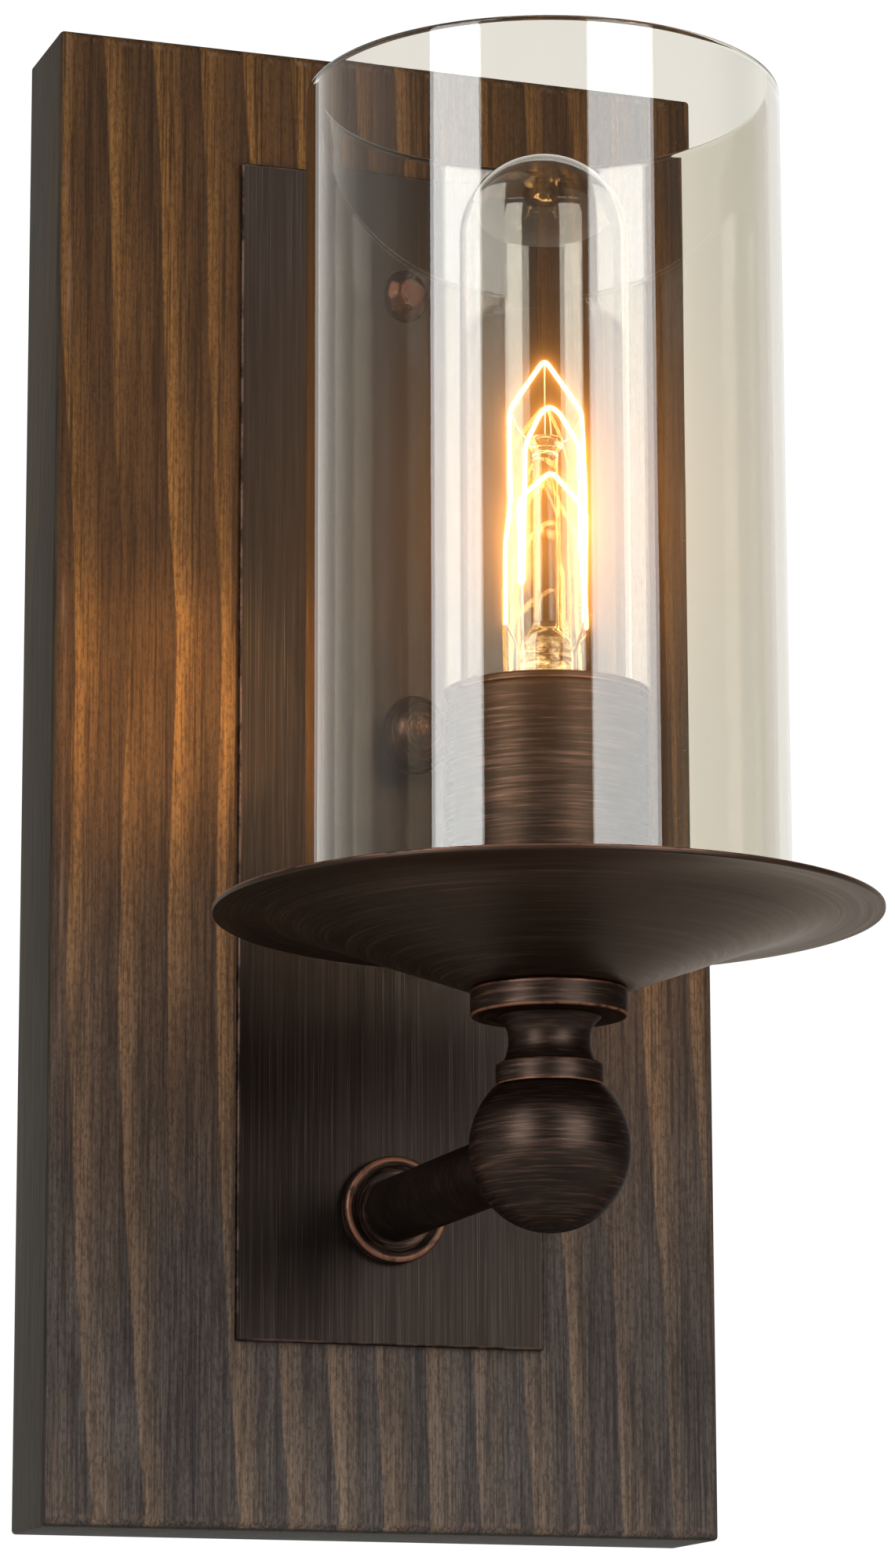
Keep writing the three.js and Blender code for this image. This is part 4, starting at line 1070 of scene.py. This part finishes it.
# ---- Socket, sleeve, bulb and glass ----
def build_socket():
    """Phenolic cup with flats cut for the terminal screws, and its rolled thread shell."""
    low, high = mm_box("socket_body")
    outer, start, end = extent("socket_shell")
    radius = (high.y - low.y) / 2 - SKIN_GAP
    bore = outer + SKIN_GAP + 0.3
    floor = start - 0.15
    step = high.z - 9
    profile = fillet(
        [
            (0, low.z),
            (radius, low.z, 1.0),
            (radius, step, 0.4),
            (radius - 0.5, step + 0.5, 0.4),
            (radius - 0.5, high.z, 0.7),
            (bore, high.z, 0.3),
            (bore, floor),
            (0, floor),
        ]
    )
    body = turned("socket_cup", profile, COLUMN)
    grooves = []
    for side, sign in (("left", -1), ("right", 1)):
        t_low, t_high = mm_box(f"terminal_screw_{side}")
        inner = min(abs(t_low.x), abs(t_high.x)) - 0.15
        middle = (t_low + t_high) / 2
        groove = rod("groove", 2.7, 0, 8, Vector((0, 0, 0)), "Z")
        turn = Matrix.Rotation(math.radians(90) * sign, 4, "Y")
        place = Matrix.Translation(Vector((sign * inner, middle.y, middle.z)) * MM)
        groove.data.transform(place @ turn)
        grooves.append(groove)
    boolean(body, "DIFFERENCE", grooves)
    attach(body, "frame", PHENOLIC, "phenolic", "socket_body")
    lip = outer - 3
    wavy = rows(outer, start + 2, end - 2, LAMP_PITCH / LAMP_THREAD_ROWS)
    back = [(r - SHELL_WALL, h) for r, h in reversed(wavy)]
    profile = [(lip, start), (outer, start), *wavy, (outer, end), (outer - SHELL_WALL, end), *back]
    profile += [(outer - SHELL_WALL, start + SHELL_WALL), (lip, start + SHELL_WALL), (lip, start)]
    run = (start + 2, end - 1)
    ridge = thread(0.55, LAMP_PITCH, run, lambda r, h: r > outer - 0.5 and run[0] < h < run[1])
    shell = turned("socket_thread", profile, COLUMN, "Z", 96, 60, ridge)
    attach(shell, "frame", BRASS, "socket_brass", "socket_shell")


def build_sleeve():
    """Drawn tube with a small rolled lip at the top and a shallow line under it."""
    radius, low, high = extent("candle_sleeve")
    bore = radius - 1.15
    line = high - 1.55
    profile = fillet(
        [
            (bore, low, 0.2),
            (radius, low, 0.3),
            (radius, line - 0.2, 0.15),
            (radius - 0.28, line, 0.12),
            (radius, line + 0.2, 0.15),
            (radius, high, 0.5),
            (bore, high, 0.45),
            (bore, low, 0.2),
        ]
    )
    piece = turned("sleeve", profile, COLUMN, "Z", 160)
    worn = [(high, radius, 0.4), (high - 1.3, radius, 0.3)]
    material = brushed_bronze("turned_bronze_sleeve", COLUMN, "Z", 0.50, 0.24, worn, 2500)
    attach(piece, "sleeve", material, "turned_bronze", "candle_sleeve")


def build_bulb():
    """Blown envelope: a straight tube with a domed end, drawn in to the base by a soft shoulder."""
    radius, low, high = extent("bulb_envelope")
    neck = radius * 0.768
    shoulder = mm_box("bulb_base_shell")[1].z + 0.5
    taper = 12
    dome = high - radius - SKIN_GAP
    outer = [(neck, low)]
    for i in range(17):
        t = i / 16
        ease = 3 * t * t - 2 * t * t * t
        outer.append((neck + (radius - neck) * ease, shoulder + taper * t))
    for i in range(1, 8):
        outer.append((radius, shoulder + taper + (dome - shoulder - taper) * i / 8))
    inner = [(max(0.0, r - BULB_WALL), h) for r, h in reversed(outer[1:])]
    thin = radius - BULB_WALL
    turns = [i / 24 * math.pi / 2 for i in range(25)]
    outer += [(radius * math.cos(t), dome + radius * math.sin(t)) for t in turns]
    outer[-1] = (0, dome + radius)
    cap = [(thin * math.sin(t), dome + thin * math.cos(t)) for t in turns]
    cap[0] = (0, dome + thin)
    profile = outer + cap + inner + [(neck - BULB_WALL, low), (neck, low)]
    piece = turned("bulb_glass_tube", profile, COLUMN, "Z", 128, 60)
    glass = clear_glass("bulb_glass", (0.995, 0.99, 0.975), 0.2, 1.47)
    return attach(piece, "bulb", glass, "bulb_glass", "bulb_envelope")


def build_bulb_base():
    outer, low, high = extent("bulb_base_shell")
    wavy = rows(outer, low + 0.8, high - 5, LAMP_PITCH / LAMP_THREAD_ROWS)
    back = [(r - SHELL_WALL, h) for r, h in reversed(wavy)]
    profile = [(outer, low), *wavy, (outer, high), (outer - SHELL_WALL, high), *back]
    profile += [(outer - SHELL_WALL, low), (outer, low)]
    run = (low + 0.6, high - 4.5)
    ridge = thread(0.7, LAMP_PITCH, run, lambda r, h: low + 0.7 < h < high - 4.9)
    shell = turned("bulb_thread", profile, COLUMN, "Z", 96, 60, ridge)
    attach(shell, "bulb", BRASS, "socket_brass", "bulb_base_shell")
    radius, low, high = extent("bulb_insulator")
    tip, tip_low, tip_high = extent("bulb_tip")
    profile = fillet([(0, low), (tip + 0.8, low, 0.6), (radius, high - 0.4, 0.8), (0, high)])
    cone = turned("bulb_base_glass", profile, COLUMN, "Z", 64)
    attach(cone, "bulb_base", PHENOLIC, "phenolic", "bulb_insulator")
    profile = fillet([(0, tip_low), (tip - 1, tip_low, 1.0), (tip, tip_high, 0.2), (0, tip_high)])
    button = turned("bulb_button", profile, COLUMN, "Z", 64)
    solder = plated_steel("solder", (0.5, 0.5, 0.49), 0.34)
    attach(button, "bulb_base", solder, "solder", "bulb_tip")


def build_stem():
    """The lamp's glass stem: a flared foot, a tube pinched flat, and a button that holds hooks."""
    _, low, high = extent("bulb_stem")
    pinch = low + PINCH_RISE
    profile = fillet(
        [
            (0, low),
            (8.4, low, 0.4),
            (8.4, low + 1, 0.4),
            (5.3, low + 5, 2.0),
            (4.95, pinch - 2, 2.0),
            (2.45, pinch + 1, 1.5),
            (2.45, high - 3.2, 0.8),
            (3.55, high - 2.0, 0.7),
            (3.55, high - 0.8, 0.7),
            (1.5, high, 0.5),
            (0, high),
        ]
    )
    stem = turned("bulb_stem_glass", profile, COLUMN, "Z", 64, 60)
    return attach(stem, "bulb", lit_stem_glass(pinch), "stem_glass", "bulb_stem")


def build_filament():
    """The zigzag wire, its support hooks and its two leads."""
    _, stem_foot, stem_top = extent("bulb_stem")
    _, foot, peak = extent("bulb_filament")
    pinch = stem_foot + PINCH_RISE
    button = stem_top - 1.4
    spread, front = 8.0, -3.2
    shoulder = 42.6

    def at(x, y, z):
        return (x, AXIS_Y + y, z)

    # Each point is (part of the spread, depth, height above the filament's foot).
    route = [
        (-1, 0, 0.6),
        (-1, 0, 16),
        (-0.87, 0, 24),
        (-0.88, 0, shoulder - 0.5),
        (0, 0, peak - foot - 0.4),
        (0.93, 0, shoulder + 0.4),
        (1, 0, 27),
        (0.96, 0, 12),
        (1, 0, 0.5),
        (0.80, -1.5, 16),
        (0.76, -1.8, 36),
        (0.22, -2.4, 42),
        (0, -2.4, 42.8),
        (-0.2, -2.4, 41.6),
        (-0.58, -1.8, 35),
        (-0.62, -1.2, 9),
        (-0.74, -2.2, 8),
        (-0.80, front, 24.2),
        (0, front, 30.0),
        (0.86, front, 23),
        (0.80, front, 1.5),
    ]
    wire = swept("filament_wire", [at(spread * x, y, foot + z) for x, y, z in route], 0.40)
    attach(wire, "bulb", hot_filament(), "hot_filament", "bulb_filament")
    bend = foot + shoulder
    hooks = [
        [at(0, 0, stem_top - 0.5), at(0, 0, peak - 1.1)],
        [at(-3, 0, button), at(-5, -0.2, button + 1.2), at(-spread * 0.86, 0, bend - 0.6)],
        [at(3, 0, button), at(5, -0.2, button + 1.2), at(spread * 0.91, 0, bend - 0.2)],
        [at(0, -3, button), at(0, -3.4, button + 1), at(0, -2.4, foot + 42.2)],
        [at(0, -2.2, button - 6), at(0, -3.4, button - 7.5), at(0, front, foot + 29.4)],
        [at(4.2, 0, pinch - 4), at(6.2, 0, pinch - 2), at(spread, 0, foot - 0.1)],
        [at(-4.2, -0.8, pinch - 4), at(-5, -1, pinch - 1), at(-spread * 0.66, -1.6, foot + 8)],
    ]
    wires = [swept(f"hook_{i}", points, 0.13) for i, points in enumerate(hooks)]
    supports = merged("filament_supports", wires)
    nickel = plated_steel("lead_nickel", (0.42, 0.38, 0.33), 0.22)
    attach(supports, "bulb", nickel, "lead_nickel")
    left_end, right_end = at(-spread, 0, foot + 0.9), at(spread * 0.80, front, foot + 1.8)
    for side, node, tip in ((-1, "bulb_lead_left", left_end), (1, "bulb_lead_right", right_end)):
        low, high = mm_box(node)
        root = side * min(abs(low.x), abs(high.x)) + side * 0.4
        knee = at((root + tip[0]) / 2, (tip[1] - AXIS_Y) / 2, (low.z + 5 + tip[2]) / 2)
        points = [at(root, 0, low.z + 0.2), at(root, 0, low.z + 5), knee, tip]
        attach(swept(node + "_fine", points, 0.28), "bulb", nickel, "lead_nickel", node)
    return wire


def build_glass():
    """Drawn glass tube with fire-polished rims."""
    radius, low, high = extent("glass_cylinder")
    bore = radius - GLASS_WALL
    corners = [(bore, low, 0.7), (radius, low, 0.7), (radius, high, 1.0), (bore, high, 1.0)]
    piece = turned("glass_tube", fillet([*corners, corners[0]], steps=8), COLUMN, "Z", 256, 60)
    glass = clear_glass("clear_glass", (0.845, 0.815, 0.740), 0.18)
    return attach(piece, "glass", glass, "clear_glass", "glass_cylinder")


# ---- Light, floor and camera ----
def aimed(obj, place, target):
    obj.location = place
    obj.rotation_euler = (Vector(target) - Vector(place)).to_track_quat("-Z", "Y").to_euler()


def build_softbox(name, place, width, height, radiance, blockers):
    light = bpy.data.lights.new(name, "AREA")
    light.shape = "RECTANGLE"
    light.size, light.size_y = width, height
    light.energy = radiance * width * height * math.pi
    light.color = SOFTBOX_COLOR
    obj = new_object(name, light)
    aimed(obj, place, (*SOFTBOX_AIM, place[2]))
    obj.visible_camera = False
    obj.light_linking.blocker_collection = blockers


def build_lamp_light(light, energy, blockers):
    """Light that leaves the filament, falls on the opaque pieces and passes through the glass."""
    light.energy = energy
    light.shadow_soft_size = 0.008
    light.color = LAMP_COLOR
    lamp = new_object(light.name, light)
    lamp.visible_camera = False
    lamp.visible_transmission = False
    lamp.light_linking.receiver_collection = blockers
    lamp.light_linking.blocker_collection = blockers
    f_low, f_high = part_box("bulb_filament")
    middle = (f_low + f_high) / 2
    plate_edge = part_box("face_plate")[0]
    aimed(lamp, middle, (plate_edge.x - 0.014, plate_edge.y, middle.z - 0.022))


def build_lights(see_through):
    """Two tall softboxes in front, and the lamp's own warm light. Glass casts no hard shadow."""
    blockers = bpy.data.collections.new("opaque_pieces")
    for obj in bpy.context.scene.objects:
        if obj.type == "MESH" and obj not in see_through and not obj.hide_render:
            blockers.objects.link(obj)
    for settings in SOFTBOXES:
        build_softbox(*settings, blockers)
    build_lamp_light(bpy.data.lights.new("lamp_glow", "POINT"), 0.22, blockers)
    focus = bpy.data.lights.new("lamp_focus", "SPOT")
    focus.spot_size = math.radians(38)
    focus.spot_blend = 1.0
    build_lamp_light(focus, 1.2, blockers)


def build_world():
    """White studio: bright beyond the object, dimmer to the sides and above, dark in front."""
    world = bpy.data.worlds.new("studio")
    bpy.context.scene.world = world
    world.use_nodes = True
    n = Tree(world.node_tree)
    n.tree.nodes.clear()
    direction = n.add("ShaderNodeTexCoord").outputs["Generated"]

    def toward(heading, *limits):
        """Strength that changes smoothly as a direction turns to the heading."""
        lean = n.add("ShaderNodeVectorMath", {0: direction, 1: heading}, operation="DOT_PRODUCT")
        return n.band(lean.outputs["Value"], *limits)

    beyond = toward((0.33, 0.94, 0.0), 0.35, 0.85, 0.45, 1.0)
    behind = toward((0.0, 1.0, 0.0), -0.2, 0.3, 0.18, 1.0)
    above = toward((0.0, 0.0, 1.0), 0.4, 0.9, 1.0, 0.25)
    panels = n.noise(n.stretch(direction, 7.0, 7.0, 0.4), 1.0, 2.0)
    uneven = n.band(panels, 0.3, 0.7, 0.86, 1.08, "LINEAR")
    strength = n.times(n.times(beyond, behind), n.times(above, uneven))
    light = {"Color": (1.0, 1.0, 0.985, 1), "Strength": strength}
    studio = n.add("ShaderNodeBackground", light).outputs[0]
    plain = n.add("ShaderNodeBackground", {"Color": (1, 1, 1, 1), "Strength": 1.05}).outputs[0]
    seen = n.add("ShaderNodeLightPath").outputs["Is Camera Ray"]
    chosen = n.add("ShaderNodeMixShader", {0: seen, 1: studio, 2: plain}).outputs[0]
    n.add("ShaderNodeOutputWorld", {"Surface": chosen})


def build_floor():
    """A wide pale floor that gets lighter with distance and meets the white background softly."""
    bm = bmesh.new()
    bmesh.ops.create_grid(bm, x_segments=1, y_segments=1, size=FLOOR_HALF)
    for vert in bm.verts:
        vert.co.z = FLOOR_Z
    floor = finish_mesh("floor", bm)
    n = Nodes("pale_floor")
    reach = n.length(*n.split(n.place)[:2])
    speck = n.noise(n.place, 14, 3.0, 0.5)
    n.set(Base_Color=n.mix(speck, (0.82, 0.82, 0.81), (0.86, 0.86, 0.85)))
    n.set(Emission_Strength=n.scaled(n.band(reach, 0.5, 7.0), 0.76, 0.24))
    n.set(Emission_Color=(1, 1, 1, 1), Roughness=0.75)
    floor.data.materials.append(n.material)


def build_bloom():
    """The soft halo a lens gives round the bare filament."""
    scene = bpy.context.scene
    scene.use_nodes = True
    tree = scene.node_tree
    tree.nodes.clear()
    layers = tree.nodes.new("CompositorNodeRLayers")
    glare = tree.nodes.new("CompositorNodeGlare")
    glare.glare_type = "BLOOM"
    glare.inputs["Threshold"].default_value = 3.0
    glare.inputs["Strength"].default_value = 1.8
    glare.inputs["Size"].default_value = 0.55
    glare.inputs["Tint"].default_value = (1.0, 0.64, 0.28, 1)
    output = tree.nodes.new("CompositorNodeComposite")
    tree.links.new(layers.outputs["Image"], glare.inputs["Image"])
    tree.links.new(glare.outputs["Image"], output.inputs["Image"])


def build_camera():
    camera = bpy.data.cameras.new("camera")
    camera.sensor_width = 36
    camera.lens = CAMERA_LENS
    camera.clip_start = 0.05
    camera.clip_end = 50
    obj = new_object("camera", camera)
    obj.location = CAMERA_PLACE
    obj.rotation_euler = [math.radians(angle) for angle in CAMERA_ANGLES]
    bpy.context.scene.camera = obj


STEEL = plated_steel("zinc_steel", (0.55, 0.55, 0.52))
BRASS = plated_steel("socket_brass", (0.62, 0.44, 0.17), 0.22)
PHENOLIC = moulded("phenolic", (0.010, 0.0095, 0.009), (0.026, 0.024, 0.022))

build_board()
build_plate()
build_hammered_stud()
build_arm()
build_ball()
build_stack()
build_dish()
build_hardware()
build_cap_nut()
build_socket()
build_sleeve()
bulb_glass = build_bulb()
build_bulb_base()
stem_glass = build_stem()
filament = build_filament()
outer_glass = build_glass()
build_floor()
build_lights({bulb_glass, outer_glass, stem_glass, filament})
build_world()
build_camera()
build_bloom()
bpy.context.scene.view_settings.view_transform = "Standard"
